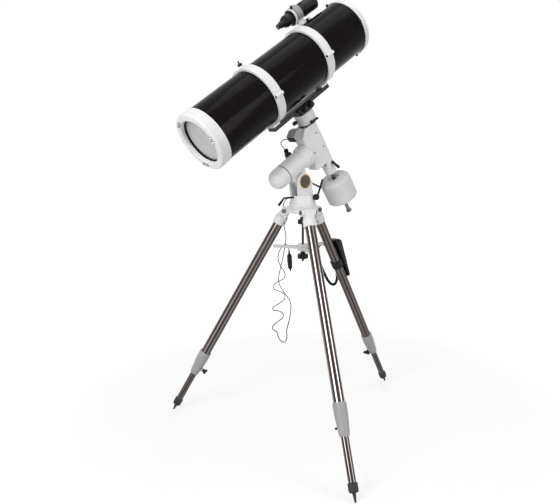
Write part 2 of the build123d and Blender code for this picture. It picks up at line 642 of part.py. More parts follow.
def drawtube():
    """Drawtube with the two-inch eyepiece socket."""
    wall = TUBE_RADIUS
    collar = DRAW_RADIUS + 3
    draw = turned((EYEPIECE_RADIUS, wall + 2), (DRAW_RADIUS, wall + 2), (DRAW_RADIUS, wall + 49),
                  (collar, wall + 50), (collar, wall + 64), (collar - 1.5, wall + 66), (EYEPIECE_RADIUS, wall + 66))
    return OPTICS * FOCUSER * draw


def focus_knobs():
    """Pinion shaft with a knob at each end."""
    shaft = post(3, -46, 46) + knob(17, 28, 44, 9) + Rot(180, 0, 0) * knob(17, 28, 44, 9)
    return OPTICS * FOCUSER * Pos(0, PINION, TUBE_RADIUS + 29) * ALONG_X * shaft


def finder_bracket():
    """Shoe, stem and ring of the finder with its three screws."""
    wall = TUBE_RADIUS
    body = block((226, 286), (-17, 17), (wall - 26, wall + 11)) + block((228, 262), (-9, 9), (wall + 4, wall + 34))
    body += Pos(218, 0, FINDER_OFFSET) * ALONG_X * post(36, 0, 44)
    body -= Pos(200, 0, FINDER_OFFSET) * ALONG_X * post(31.3, 0, 100)
    for turn in (60, 180, 300):
        screw = post(3, 25.4, 40) + post(5.5, 39, 50)
        body += Pos(226, 0, FINDER_OFFSET) * Rot(turn, 0, 0) * screw
    body = FINDER * body
    return OPTICS * (body - post(TUBE_RADIUS + 0.05, 150, 350))


def finder_tube():
    """Small straight telescope."""
    scope = turned((0, 136), (10, 136), (11, 138), (11, 152), (14, 154), (14, 168), (20, 172), (25, 184),
                   (25, 250), (31, 251), (31, 262), (25, 263), (25, 284), (30.5, 291), (30.5, 364), (29, 365),
                   (28, 365), (28, 335), (0, 335))
    return OPTICS * FINDER * Pos(0, 0, FINDER_OFFSET) * ALONG_X * scope


def hand_controller():
    """Hand controller with its lead's boss, in a holder strapped to the outside of the right leg."""
    near = -UPPER_TUBE - 1.35
    outline = Polyline((0, near, -200), (0, near - 20.4, -172), (0, near - 38.4, -170), (0, near - 49.4, -176),
                       (0, near - 52.4, -192), (0, near - 28.4, -326), (0, near - 8.4, -386),
                       (0, near - 1.4, -392), (0, near, -390), close=True)
    body = extrude(make_face(outline), amount=35, both=True)
    strap = UPPER_TUBE + 4.25
    body += ring(strap, UPPER_TUBE + GAP, -316, -282) + ring(strap, UPPER_TUBE + GAP, -212, -184)
    body += block((strap - 2.5, strap + 7.5), (-8, 8), (-206, -186))
    body += rod((39.4349, near - 6.8459, -374.5515), (32.0762, near - 7.9453, -365.1365), 6)
    return body - post(UPPER_TUBE + GAP, -420, -150)


def power_plug():
    """Vehicle socket plug on the free end of the power cord."""
    plug = turned((0, 0), (3, 0), (5, 16), (9, 20), (11, 26), (11, 58), (10, 60), (10, 78), (7, 84), (4, 86),
                  (3.5, 93), (0, 94))
    end = Vector(*CORD_POINTS[-1])
    return Plane(origin=end, z_dir=Vector(4, 4, -94)).location * Pos(0, 0, 0.7) * plug


def cord(points, radius):
    """Round cord through hand-placed points, straight runs joined by tangent arcs."""
    places = [Vector(*p) for p in points]
    radii = []
    for before, here, after in zip(places, places[1:], places[2:]):
        turn = (here - before).get_angle(after - here)
        shorter = min((here - before).length, (after - here).length)
        radii.append(round(0.45 * shorter / tan(radians(turn) / 2), 1))
    path = FilletPolyline(*places, radius=radii)
    start = Plane(origin=path @ 0, z_dir=path % 0)
    return sweep(start * Circle(radius), path=path)


LEGS = {name: leg_place(turn) for name, turn in LEG_TURNS.items()}

pieces = {
    "tripod_head": tripod_head(),
    "leg_bolts": leg_bolts(),
    "centre_rod": centre_rod(),
    "spreader": spreader(),
    "spreader_knob": spreader_knob(),
    "fork": fork(),
    "altitude_axle": altitude_axle(),
    "azimuth_knobs": azimuth_knobs(),
    "altitude_bolt_south": altitude_bolt_south(),
    "altitude_bolt_north": altitude_bolt_north(),
    "ra_housing": ra_housing(),
    "polar_cap": polar_cap(),
    "ra_clutch_lever": ra_clutch_lever(),
    "dec_housing": dec_housing(),
    "dec_motor_box": dec_motor_box(),
    "shaft_lock_lever": shaft_lock_lever(),
    "counterweight_shaft": counterweight_shaft(),
    "counterweight": counterweight(),
    "weight_knob": weight_knob(),
    "saddle": saddle(),
    "saddle_clamp": saddle_clamp(),
    "saddle_knob_front": saddle_knob(18),
    "saddle_knob_rear": saddle_knob(-18),
    "dec_clutch_lever": dec_clutch_lever(),
    "dovetail_bar": dovetail_bar(),
    "rings_lower": rings_lower(),
    "ring_rear_upper": ring_upper(RING_REAR, True),
    "ring_front_upper": ring_upper(RING_FRONT, False),
    "ring_rear_knob": ring_knob(RING_REAR),
    "ring_front_knob": ring_knob(RING_FRONT),
    "piggyback_knob": piggyback_knob(),
    "main_tube": main_tube(),
    "front_ring": front_ring(),
    "rear_ring": rear_ring(),
    "mirror_cell": mirror_cell(),
    "primary_mirror": primary_mirror(),
    "collimation_screws": collimation_screws(),
    "spider": spider(),
    "secondary_mirror": secondary_mirror(),
    "focuser_body": focuser_body(),
    "drawtube": drawtube(),
    "focus_knobs": focus_knobs(),
    "finder_bracket": finder_bracket(),
    "finder_tube": finder_tube(),
    "hand_controller": LEGS["right"] * hand_controller(),
    "controller_lead": cord(LEAD_POINTS, LEAD_RADIUS),
    "power_cord": cord(CORD_POINTS, CORD_RADIUS),
    "power_plug": power_plug(),
}
for leg_name, leg_frame in LEGS.items():
    pieces["leg_" + leg_name + "_castings"] = leg_frame * leg_castings()
    pieces["leg_" + leg_name + "_upper"] = leg_frame * leg_upper()
    pieces["leg_" + leg_name + "_lower"] = leg_frame * leg_lower()
    pieces["leg_" + leg_name + "_screw"] = leg_frame * leg_screw()

os.makedirs("parts", exist_ok=True)
for piece_name, piece in pieces.items():
    export_step(Pos(AXIS_X, AXIS_Y, 0) * piece, "parts/" + piece_name + ".step")
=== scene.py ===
import logging
from collections.abc import Callable, Iterable, Sequence
from dataclasses import dataclass
from enum import Enum
from math import cos, pi, radians, sin

import bmesh
import bpy
import numpy as np
from bpy.types import ID, Material, Mesh, Node, NodeSocket, Object, World
from mathutils import Matrix, Vector


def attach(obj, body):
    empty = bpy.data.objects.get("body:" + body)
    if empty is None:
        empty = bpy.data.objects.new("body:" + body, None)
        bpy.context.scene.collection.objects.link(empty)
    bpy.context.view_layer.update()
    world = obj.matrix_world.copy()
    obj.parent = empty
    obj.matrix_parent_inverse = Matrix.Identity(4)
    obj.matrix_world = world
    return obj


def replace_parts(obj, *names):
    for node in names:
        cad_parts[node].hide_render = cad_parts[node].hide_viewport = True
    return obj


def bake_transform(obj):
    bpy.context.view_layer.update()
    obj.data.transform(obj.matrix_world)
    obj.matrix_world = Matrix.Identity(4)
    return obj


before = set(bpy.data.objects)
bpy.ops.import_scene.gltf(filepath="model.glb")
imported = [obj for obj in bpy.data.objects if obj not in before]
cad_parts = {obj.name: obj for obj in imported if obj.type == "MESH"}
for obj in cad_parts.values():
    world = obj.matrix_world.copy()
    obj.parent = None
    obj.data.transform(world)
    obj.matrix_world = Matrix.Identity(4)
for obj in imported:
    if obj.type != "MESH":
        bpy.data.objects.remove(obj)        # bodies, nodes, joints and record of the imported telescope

LOG = logging.getLogger("telescope")
MM = 0.001
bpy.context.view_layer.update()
SEEING = ("Camera", "Glossy", "Transmission")       # kinds of ray that end in the eye
SHARP_EDGE = radians(35.0)                          # past this angle an edge stays crisp

Point = tuple[float, float, float]
Colour = tuple[float, float, float]
Pair = tuple[float, float]
Array = np.ndarray
Surface = tuple[Array, Array]                       # points and quads
Outline = Sequence[Pair]                            # radius and height pairs


# Places


@dataclass(frozen=True)
class Place:
    """A local frame: millimetre points in it become metres in the shared frame."""

    origin: Array
    axes: Array

    @classmethod
    def of(cls, origin: Sequence[float], z: Sequence[float], x: Sequence[float]) -> "Place":
        """Frame from its origin in millimetres, its Z direction and a rough X direction.

        Args:
            origin: where the frame sits.
            z: direction of its third axis.
            x: direction near its first axis.
        Returns:
            The frame, with square axes.
        """
        third = np.asarray(z, float) / np.linalg.norm(z)
        first = np.asarray(x, float) - third * np.dot(x, third)
        first = first / np.linalg.norm(first)
        return cls(np.asarray(origin, float), np.stack([first, np.cross(third, first), third]))

    def inside(self, origin: Sequence[float], z: Sequence[float] = (0, 0, 1),
               x: Sequence[float] = (1, 0, 0)) -> "Place":
        """Frame given in this one's own coordinates."""
        spot = self.origin + np.asarray(origin, float) @ self.axes
        return Place.of(spot, np.asarray(z, float) @ self.axes, np.asarray(x, float) @ self.axes)

    def on_wall(self, degrees: float, reach: float, height: float) -> "Place":
        """Frame on a round wall about this one's Z axis, with its Z outwards and its X along the wall.

        Args:
            degrees: how far round the wall.
            reach: the wall's radius.
            height: how far along the wall.
        Returns:
            The frame.
        """
        turn = radians(degrees)
        spot = (reach * cos(turn), reach * sin(turn), height)
        return self.inside(spot, (cos(turn), sin(turn), 0), (0, 0, 1))

    def metres(self, points: Array) -> Array:
        """Local millimetre points as shared-frame metres."""
        return (self.origin + np.asarray(points, float) @ self.axes) * MM


Part = tuple[Surface, Place]                        # a surface and the frame that it is in

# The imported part's own measures, in millimetres and radians.
AXIS = np.array([-34.33, -40.37, 0.0])
LATITUDE = radians(32.84)
POLE = np.array([0.0, cos(LATITUDE), sin(LATITUDE)])
EAST = np.array([1.0, 0.0, 0.0])
MOUNT_CENTRE = np.array([0.0, 85.6, 1259.7])
TUBE_OFFSET = -324.0
TUBE_RADIUS = 116.0
FOCUSER_PLACE = 315.0
FOCUSER_TURN = radians(10)
FINDER_TURN = radians(31.5)
FINDER_OFFSET = 172.0
AXLE_CENTRE = (0, -14.5, 1106)
LEG_TILT = radians(30.12)
HINGE_REACH = 75.0
HINGE_HEIGHT = 979.0
FOOT_CAP_TOP = -1062.0

SHARED = Place(np.zeros(3), np.eye(3))
TRIPOD = Place.of(AXIS, (0, 0, 1), EAST)
MOUNT = Place.of(AXIS + MOUNT_CENTRE, POLE, EAST)
DECLINATION = MOUNT.inside((0, 0, 0), (0, 1, 0))
OPTICS = MOUNT.inside((0, TUBE_OFFSET, 0))
FOCUSER = OPTICS.inside((0, 0, FOCUSER_PLACE), (-cos(FOCUSER_TURN), sin(FOCUSER_TURN), 0), (0, 0, 1))
FINDER = OPTICS.inside((0, 0, 0), (-sin(FINDER_TURN), -cos(FINDER_TURN), 0), (0, 0, 1))


class Leg(Enum):
    """The three legs and the way each one points, in degrees."""

    FRONT = -23.85
    RIGHT = 96.15
    LEFT = 216.15

    @property
    def label(self) -> str:
        """The leg's part of a node's name."""
        return self.name.lower()

    def place(self) -> Place:
        """Frame on the leg's hinge.

        Returns:
            The frame, with Z up the leg and X along the hinge bolt.
        """
        turn = radians(self.value)
        out = np.array([cos(turn), sin(turn), 0.0])
        bolt = np.array([-sin(turn), cos(turn), 0.0])
        up = out * -sin(LEG_TILT) + np.array([0.0, 0.0, cos(LEG_TILT)])
        return Place.of(AXIS + out * HINGE_REACH + np.array([0.0, 0.0, HINGE_HEIGHT]), up, bolt)


# Surfaces


def skin(points: Array) -> Surface:
    """Quads between neighbouring points of a grid whose last column joins its first.

    Args:
        points: rows of points.
    Returns:
        The points in one list, and four point numbers per quad.
    """
    rows, columns = points.shape[:2]
    row, column = np.meshgrid(np.arange(rows - 1), np.arange(columns), indexing="ij")
    after = (column + 1) % columns
    here, beyond = row * columns, (row + 1) * columns
    quads = [here + column, here + after, beyond + after, beyond + column]
    return points.reshape(-1, 3), np.stack(quads, axis=-1).reshape(-1, 4)


def turns(steps: int) -> Array:
    """Evenly spaced angles of one turn."""
    return np.linspace(0, 2 * pi, steps, endpoint=False)


def superellipse(steps: int, power: float) -> tuple[Array, Array]:
    """Points of a unit outline: power 1 is a circle, towards 0 is a square."""
    across, over = np.cos(turns(steps)), np.sin(turns(steps))
    return np.sign(across) * np.abs(across) ** power, np.sign(over) * np.abs(over) ** power


def tangents(path: Array) -> Array:
    """Unit direction of a path at each of its points."""
    along = np.gradient(path, axis=0)
    return along / np.linalg.norm(along, axis=1, keepdims=True)


def run_along(path: Array) -> Array:
    """Distance along a path from its start to each of its points."""
    return np.r_[0, np.cumsum(np.linalg.norm(np.diff(path, axis=0), axis=1))]


def square_to(along: Array) -> tuple[Array, Array]:
    """Two directions square to each unit tangent, from the one direction that the tangents lean on least.

    Args:
        along: unit tangents.
    Returns:
        The sideways and the upward directions.
    """
    least = np.linalg.svd(along, full_matrices=False)[2][-1]
    side = np.cross(along, least)
    side = side / np.linalg.norm(side, axis=1, keepdims=True)
    return side, np.cross(along, side)


def lathe(profile: Outline, steps: int, lobes: int = 0, depth: float = 0.0) -> Surface:
    """Surface of revolution: each (radius, height) pair turns round Z, with scallops if there are lobes.

    Args:
        profile: radius and height pairs from one end to the other.
        steps: points in one turn.
        lobes: scallops round the rim.
        depth: share of the radius that a scallop takes.
    Returns:
        Points and quads.
    """
    radius, height = np.asarray(profile, float).T
    turn = turns(steps)
    wave = 1 - depth * (0.5 + 0.5 * np.cos(lobes * turn)) ** 2 if lobes else np.ones(steps)
    spread = radius[:, None] * wave[None, :]
    level = np.repeat(height[:, None], steps, 1)
    return skin(np.stack([spread * np.cos(turn), spread * np.sin(turn), level], axis=-1))


# Rows of a pad's rounded shoulder, as shares of its height; the last row closes the top.
SHOULDER_LIFT = np.array([-0.2, 0.55, 0.85, 0.97, 1.0, 1.0])
SHOULDER_DRAW = np.array([0.0, 0.0, 0.25, 0.55, 1.0, 99.0])


def pad(half_x: float, half_y: float, height: float, power: float = 0.3, steps: int = 48) -> Surface:
    """Raised pad: superellipse outline drawn in over a rounded shoulder to a flat top.

    Args:
        half_x: half its width.
        half_y: half its length.
        height: how far it stands up.
        power: 1 is an ellipse, towards 0 is a box.
        steps: points round the outline.
    Returns:
        Points and quads.
    """
    across, over = superellipse(steps, power)
    outline = np.stack([across * half_x, over * half_y], axis=-1)
    lift, draw = SHOULDER_LIFT * height, SHOULDER_DRAW * height
    shrink = np.clip(1 - draw[:, None] / np.array([half_x, half_y]), 0, 1)
    flat = outline[None] * shrink[:, None]
    return skin(np.concatenate([flat, np.repeat(lift[:, None, None], steps, 1)], axis=-1))


def carried(path: Array, radius: float, sides: int) -> Surface:
    """Circle carried square to a path.

    Args:
        path: points of the centre line.
        radius: the tube's radius.
        sides: points round the circle.
    Returns:
        Points and quads of the open tube.
    """
    side, over = square_to(tangents(path))
    turn = turns(sides)
    rim = np.cos(turn)[None, :, None] * side[:, None] + np.sin(turn)[None, :, None] * over[:, None]
    return skin(path[:, None] + rim * radius)


def rod(radius: float, high: float) -> Outline:
    """Outline of a plain shank that starts a little below its foot."""
    return [(0, -1), (radius, -1), (radius, high), (0, high)]


def knob_profile(radius: float, low: float, high: float) -> Outline:
    """Outline of a small hand knob with rounded rims and a dished top."""
    edge, dish = min(1.6, radius * 0.2), high - 0.8
    return [(0, low), (radius - edge, low), (radius, low + edge), (radius, high - edge),
            (radius - edge, high), (radius * 0.45, high), (radius * 0.4, dish), (0, dish)]


def cap_screw(radius: float, height: float, steps: int = 20) -> Surface:
    """Head of a cap screw with its socket."""
    rim, socket, floor = radius * 0.58, radius * 0.52, height * 0.35
    return lathe([(radius, -0.6), (radius, height - 0.5), (radius - 0.5, height), (rim, height),
                  (socket, height - 0.3), (socket, floor), (0, floor)], steps)


def thumb_screw(shank: float, radius: float) -> list[Surface]:
    """Shank and knurled head of a small thumb screw."""
    return [lathe(rod(shank, 5), 20), lathe(knob_profile(radius, 4, 13), 48, 10, 0.1)]


def at(places: Iterable[Place], *surfaces: Surface) -> list[Part]:
    """Copies of some surfaces, each with the frame that it is in."""
    return [(surface, place) for place in places for surface in surfaces]


def placed(name: str, data: ID) -> Object:
    """Puts a new object into the scene.

    Args:
        name: the object's name.
        data: its mesh, curve, camera or light.
    Returns:
        The object.
    """
    piece = bpy.data.objects.new(name, data)
    bpy.context.scene.collection.objects.link(piece)
    return piece


def close_seams(mesh: Mesh) -> None:
    """Merges the points of poles and seams, fills open rims and turns every face outwards.

    Args:
        mesh: the mesh to mend.
    """
    work = bmesh.new()
    work.from_mesh(mesh)
    bmesh.ops.remove_doubles(work, verts=work.verts, dist=1e-6)
    bmesh.ops.dissolve_degenerate(work, edges=work.edges, dist=1e-7)
    bmesh.ops.holes_fill(work, edges=[e for e in work.edges if e.is_boundary], sides=0)
    bmesh.ops.recalc_face_normals(work, faces=work.faces)
    work.to_mesh(mesh)
    work.free()


# Shading


def operator(kind: str, swapped: bool = False) -> Callable[["Sock", "Sock | float"], "Sock"]:
    """Method for one of Python's operators: it adds a Math node.

    Args:
        kind: the node's operation.
        swapped: whether the other value comes first.
    Returns:
        The method.
    """
    def method(value: "Sock", other: "Sock | float") -> "Sock":
        """The two values' result."""
        return value.tree.math(kind, *((other, value) if swapped else (value, other)))
    return method


@dataclass(frozen=True)
class Sock:
    """A shader value: Python's operators on it add Math nodes."""

    tree: "Tree"
    socket: NodeSocket

    __add__ = __radd__ = operator("ADD")
    __mul__ = __rmul__ = operator("MULTIPLY")
    __sub__ = operator("SUBTRACT")
    __rsub__ = operator("SUBTRACT", swapped=True)
    __pow__ = operator("POWER")

    def step(self, low: float, high: float) -> "Sock":
        """Smooth step; low above high gives the step down.

        Args:
            low: where it is 0.
            high: where it is 1.
        Returns:
            The step's value.
        """
        first, last = sorted((low, high))
        rise = self.tree.value("MapRange", {"Value": self, "From Min": first, "From Max": last},
                               interpolation_type="SMOOTHSTEP")
        return 1 - rise if low > high else rise


class Tree:
    """Node tree of a material or of the world."""

    def __init__(self, owner: Material | World) -> None:
        """Args:
            owner: whose nodes these are.
        """
        owner.use_nodes = True
        self.nodes = owner.node_tree.nodes
        self.links = owner.node_tree.links

    def node(self, kind: str, inputs: dict | None = None, **settings: str) -> Node:
        """Adds a shader node.

        Args:
            kind: the node's type, without the common prefix.
            inputs: values or links by socket name or number.
            settings: properties, set first.
        Returns:
            The node.
        """
        node = self.nodes.new(f"ShaderNode{kind}")
        for key, value in settings.items():
            setattr(node, key, value)
        for key, value in (inputs or {}).items():
            self.feed(node.inputs[key], value)
        return node

    def value(self, kind: str, inputs: dict | None = None, output: str | int = 0, **settings: str) -> Sock:
        """Adds a shader node and gives one of its outputs."""
        return Sock(self, self.node(kind, inputs, **settings).outputs[output])

    def math(self, operation: str, *values: Sock | float) -> Sock:
        """One Math node."""
        return self.value("Math", dict(enumerate(values)), operation=operation)

    def feed(self, socket: NodeSocket, value: object) -> None:
        """Links a socket or sets its value.

        Args:
            socket: the input.
            value: a socket to link, or a plain value.
        """
        if isinstance(value, Sock):
            self.links.new(value.socket, socket)
        elif isinstance(value, NodeSocket):
            self.links.new(value, socket)
        else:
            socket.default_value = (*value, 1.0) if socket.type == "RGBA" else value

    def show(self, plain: Node, seen: Node, output: str) -> None:
        """Shows one shader to the eye, also by way of gloss or glass, and another to all other light.

        Args:
            plain: the shader for other light.
            seen: the shader for the eye.
            output: name of the tree's output node.
        """
        path = self.node("LightPath")
        camera, *others = [Sock(self, path.outputs[f"Is {kind} Ray"]) for kind in SEEING]
        pick = self.node("MixShader", {0: sum(others, camera), 1: plain.outputs[0], 2: seen.outputs[0]})
        self.links.new(pick.outputs[0], self.nodes[output].inputs["Surface"])


class Graph(Tree):
    """Node tree of one material, with the shader that its maps feed."""

    grain = 0.004        # how much slower a drawn surface's noise varies along its axis than across it

    def __init__(self, name: str) -> None:
        """Args:
            name: the material's name.
        """
        self.material = bpy.data.materials.new(name)
        super().__init__(self.material)
        self.shader = self.nodes["Principled BSDF"]
        self.coords = self.value("TexCoord", output="Object")

    def blend(self, factor: Sock, first: object, second: object) -> Sock:
        """Colour between two colours."""
        return self.value("Mix", {0: factor, 6: first, 7: second}, 2, data_type="RGBA")

    def noise(self, scale: float, detail: float = 2.0, drawn: Place | None = None) -> Sock:
        """Noise on object coordinates, or drawn out along a place's Z axis.

        Args:
            scale: cycles per metre.
            detail: octaves.
            drawn: frame whose Z axis it is drawn along.
        Returns:
            The noise value.
        """
        where = self.coords
        if drawn is not None:
            x, y, z = self.local(drawn)
            where = self.value("CombineXYZ", {0: x * MM, 1: y * MM, 2: z * (MM * self.grain)})
        return self.value("TexNoise", {"Vector": where, "Scale": scale, "Detail": detail})

    def dot(self, vector: Sock, along: Sequence[float]) -> Sock:
        """Share of a vector along a direction."""
        return self.value("VectorMath", {0: vector, 1: tuple(along)}, "Value", operation="DOT_PRODUCT")

    def local(self, place: Place) -> list[Sock]:
        """The point's millimetre coordinates in a place's frame."""
        away = self.value("VectorMath", {0: self.coords, 1: tuple(place.origin * MM)}, operation="SUBTRACT")
        return [self.dot(away, axis) * (1 / MM) for axis in place.axes]

    def set(self, **inputs: object) -> None:
        """Sets the shader's sockets, named with underscores for spaces."""
        for key, value in inputs.items():
            self.feed(self.shader.inputs[key.replace("_", " ")], value)

    def bump(self, height: Sock, distance: float, strength: float = 1.0) -> None:
        """Relief in metres from a height value."""
        self.set(Normal=self.value("Bump", {"Height": height, "Distance": distance, "Strength": strength}))


def length_of(first: Sock, second: Sock) -> Sock:
    """Length of a flat vector."""
    return (first * first + second * second) ** 0.5


WHITE: Colour = (0.80, 0.805, 0.81)
WHITE_SHADE: Colour = (0.745, 0.75, 0.76)
BLACK: Colour = (0.006, 0.006, 0.0065)
PEEL = 420.0             # orange peel of sprayed paint, in cycles per metre
RUB = (38.0, 4.0)        # patches rubbed by hands: cycles per metre and octaves


@dataclass
class Finish(Graph):
    """A material that draws its own maps as it is made."""

    name: str

    def __post_init__(self) -> None:
        """Makes the node tree and draws the maps."""
        super().__init__(self.name)
        self.draw()

    def draw(self) -> None:
        """Feeds the shader."""
        raise NotImplementedError


@dataclass
class Enamel(Finish):
    """Sprayed paint: faint clouding, orange peel and dust that dulls the gloss."""

    colour: Colour
    shade: Colour
    roughness: float = 0.32
    peel: float = 0.00006

    def draw(self) -> None:
        """Feeds the shader."""
        cloud, dust = self.noise(9.0, 3.0), self.noise(55.0, 4.0)
        self.set(Base_Color=self.blend(cloud.step(0.35, 0.75), self.colour, self.shade),
                 Roughness=self.roughness + 0.14 * dust, Specular_IOR_Level=0.45)
        self.bump(self.noise(PEEL), self.peel)


class TubeLacquer(Finish):
    """Gloss black lacquer with fine metal flecks outside, flat black inside."""

    def draw(self) -> None:
        """Feeds the shader."""
        x, y, _ = self.local(OPTICS)
        outside = length_of(x, y).step(TUBE_RADIUS - 1.0, TUBE_RADIUS - 0.4)
        cells = self.node("TexVoronoi", {"Vector": self.coords, "Scale": 650.0})
        chosen = self.value("SeparateColor", {0: cells.outputs["Color"]}).step(0.90, 0.99)
        fleck = chosen * Sock(self, cells.outputs["Distance"]).step(0.5, 0.1)
        lacquer = self.blend(fleck * 0.6, (0.0052, 0.0043, 0.0041), (0.22, 0.11, 0.07))
        wave = self.noise(5.0)
        self.set(Base_Color=self.blend(outside, (0.006, 0.006, 0.006), lacquer),
                 Roughness=0.85 - outside * (0.75 - 0.05 * wave),
                 Metallic=fleck * outside * 0.4, Specular_IOR_Level=0.045)
        self.bump(self.noise(140.0, 1.0), 0.00002)


@dataclass
class Polished(Finish):
    """Drawn metal: fine lines along its axis and slight stains.

    A leg also has a painted reflection of the studio: dark lengthwise lines, dark bands and pale painted
    highlights round it from a given turn, and a rubber cap below its foot.
    """

    colour: Colour
    stain: Colour
    place: Place
    roughness: float
    # strengths and turn of the painted reflection of the studio on a leg
    painted_streak: float = 0.0
    highlight_turn: float = 0.0
    gleam: float = 0.0
    foot: float | None = None
    bands = 8.0

    def draw(self) -> None:
        """Feeds the shader."""
        lines, stains = self.noise(900.0, 2.0, self.place), self.noise(14.0, 3.0)
        metal = self.blend(stains.step(0.3, 0.8) * 0.6, self.colour, self.stain)
        # a leg gets a painted reflection of the studio in its colour
        if self.painted_streak:
            metal = self.painted_reflection(metal)
        rough = self.roughness + 0.06 * lines
        shine: Sock | float = 1.0
        if self.foot is not None:
            cap = self.local(self.place)[2].step(self.foot + 0.4, self.foot - 0.4)
            scuff = self.noise(160.0, 4.0)
            rubber = self.blend(scuff.step(0.5, 0.8), (0.007, 0.007, 0.007), (0.03, 0.029, 0.028))
            metal = self.blend(cap, metal, rubber)
            rough = rough * (1 - cap) + cap * (0.45 + 0.2 * scuff)
            shine = 1 - cap
        self.set(Base_Color=metal, Roughness=rough, Metallic=shine)
        self.bump(lines, 0.000003)

    def painted_reflection(self, metal: Sock) -> Sock:
        """Lays a painted reflection of the studio over the metal: dark lengthwise lines, dark bands and pale
        highlight bands.

        Args:
            metal: the bare colour.
        Returns:
            The new colour.
        """
        # painted reflection: dark lengthwise lines
        painted_streaks = self.noise(110.0, 1.0, self.place).step(0.40, 0.62)
        metal = self.blend(painted_streaks * self.painted_streak, metal, (0.050, 0.041, 0.037))
        x, y, _ = self.local(self.place)
        # painted reflection: dark bands where the wave is low, pale painted highlights where it is high
        wave = self.math("COSINE", (self.math("ARCTAN2", y, x) - radians(self.highlight_turn)) * self.bands)
        metal = self.blend(wave.step(-0.1, -0.9) * 0.85, metal, (0.022, 0.017, 0.015))
        return self.blend(wave.step(0.55, 0.98) * self.gleam, metal, (0.92, 0.89, 0.87))


@dataclass
class Moulded(Finish):
    """Moulded or anodised dark stuff: spark texture, rubbed patches and a soft sheen."""

    colour: Colour
    rubbed: Colour
    roughness: float = 0.42
    texture: float = 620.0
    relief: float = 0.00008
    gloss: float = 0.2

    def draw(self) -> None:
        """Feeds the shader."""
        rub, spark = self.noise(*RUB), self.noise(self.texture, 3.0)
        self.set(Base_Color=self.blend(rub.step(0.45, 0.8), self.colour, self.rubbed),
                 Roughness=self.roughness + 0.18 * spark - 0.08 * rub, Specular_IOR_Level=self.gloss)
        self.bump(spark, self.relief)


@dataclass
class BarBlack(Finish):
    """Dovetail bar: black with one grey line along its sides, and a pale painted highlight on its top face
    under the tube.
    """

    painted_highlight: float = -189.4
    line: float = -182.5

    def draw(self) -> None:
        """Feeds the shader."""
        across, down, _ = self.local(MOUNT)
        rub = self.noise(*RUB)
        # painted highlight: the top face under the tube is pale where it catches light
        face = down.step(self.painted_highlight, self.painted_highlight - 0.4) * across.step(-3.0, -4.0)
        drawn = down.step(self.line - 1.0, self.line - 0.6) * down.step(self.line + 1.0, self.line + 0.6)
        black = self.blend(rub.step(0.45, 0.8), BLACK, (0.018, 0.0175, 0.0175))
        black = self.blend(drawn, black, (0.13, 0.125, 0.125))
        painted_highlight = self.blend(rub.step(0.3, 0.8), (0.90, 0.90, 0.90), (0.84, 0.84, 0.84))
        self.set(Base_Color=self.blend(face, black, painted_highlight), Roughness=0.3 + 0.12 * rub, Specular_IOR_Level=0.2)
        self.bump(self.noise(800.0, 3.0), 0.00003)


@dataclass
class LegCastings(Finish):
    """Cast leg ends in white paint; below the knee the clamp is darker, painted shade where less light reaches
    near the floor.
    """

    place: Place
    knee: float = -500.0

    def draw(self) -> None:
        """Feeds the shader."""
        # painted shade: darker below the knee, towards the floor
        low = self.local(self.place)[2].step(self.knee + 20, self.knee - 20)
        cloud = self.noise(14.0, 4.0)
        paint = self.blend(cloud.step(0.35, 0.75), WHITE, WHITE_SHADE)
        painted_shade = self.blend(cloud.step(0.3, 0.75), (0.38, 0.365, 0.37), (0.33, 0.32, 0.325))
        self.set(Base_Color=self.blend(low, paint, painted_shade), Roughness=0.36 + 0.16 * cloud,
                 Specular_IOR_Level=0.45)
        self.bump(self.noise(PEEL), 0.00008)


@dataclass
class Silvered(Finish):
    """Front-silvered glass; the face that looks along aim is the mirror and the rest its dark holder."""

    aim: Sequence[float] | None = None

    def draw(self) -> None:
        """Feeds the shader."""
        haze = self.noise(60.0, 5.0)
        face: Sock | float = 1.0
        colour = self.blend(haze.step(0.5, 0.9), (0.86, 0.88, 0.90), (0.78, 0.80, 0.82))
        if self.aim is not None:
            face = self.dot(self.value("TexCoord", output="Normal"), self.aim).step(0.9, 0.97)
            colour = self.blend(face, (0.012, 0.012, 0.013), colour)
        self.set(Base_Color=colour, Metallic=face, Roughness=0.5 - 0.47 * face + 0.02 * haze)


@dataclass
class CapDisc(Finish):
    """Axle cover: white rim, thin gilt line and a plain dark centre."""

    place: Place
    gilt_radius: float = 27.0
    rim_radius: float = 31.2

    def draw(self) -> None:
        """Feeds the shader."""
        _, y, z = self.local(self.place)
        reach = length_of(y, z)
        rim = reach.step(self.rim_radius, self.rim_radius + 0.6)
        gilt = reach.step(self.gilt_radius, self.gilt_radius + 0.6) * (1 - rim)
        grain = self.noise(75.0, 4.0)
        centre = self.blend(grain.step(0.35, 0.75), (0.035, 0.026, 0.02), (0.075, 0.05, 0.032))
        colour = self.blend(gilt, centre, (0.60, 0.40, 0.19))
        self.set(Base_Color=self.blend(rim, colour, (0.78, 0.785, 0.79)),
                 Roughness=0.34 + 0.12 * grain - 0.08 * gilt, Metallic=gilt * 0.8)
        self.bump(gilt + 0.05 * self.noise(PEEL), 0.0003, 0.6)


@dataclass
class CellPlate(Finish):
    """Pale back plate of the mirror cell, with a dark ring of painted shadow round its edge."""

    radius: float = 87.4

    def draw(self) -> None:
        """Feeds the shader."""
        x, y, _ = self.local(OPTICS)
        # painted shadow: dark ring round the plate's edge, where the cell's ring shades it
        gap_shadow = length_of(x, y).step(self.radius, self.radius + 0.6)
        cloud = self.noise(22.0, 3.0)
        plate = self.blend(cloud.step(0.3, 0.8), (0.53, 0.535, 0.54), (0.46, 0.465, 0.47))
        self.set(Base_Color=self.blend(gap_shadow, plate, (0.02, 0.02, 0.022)), Roughness=0.4 + 0.15 * cloud)
        self.bump(self.noise(380.0) - gap_shadow * 3.0, 0.00008)


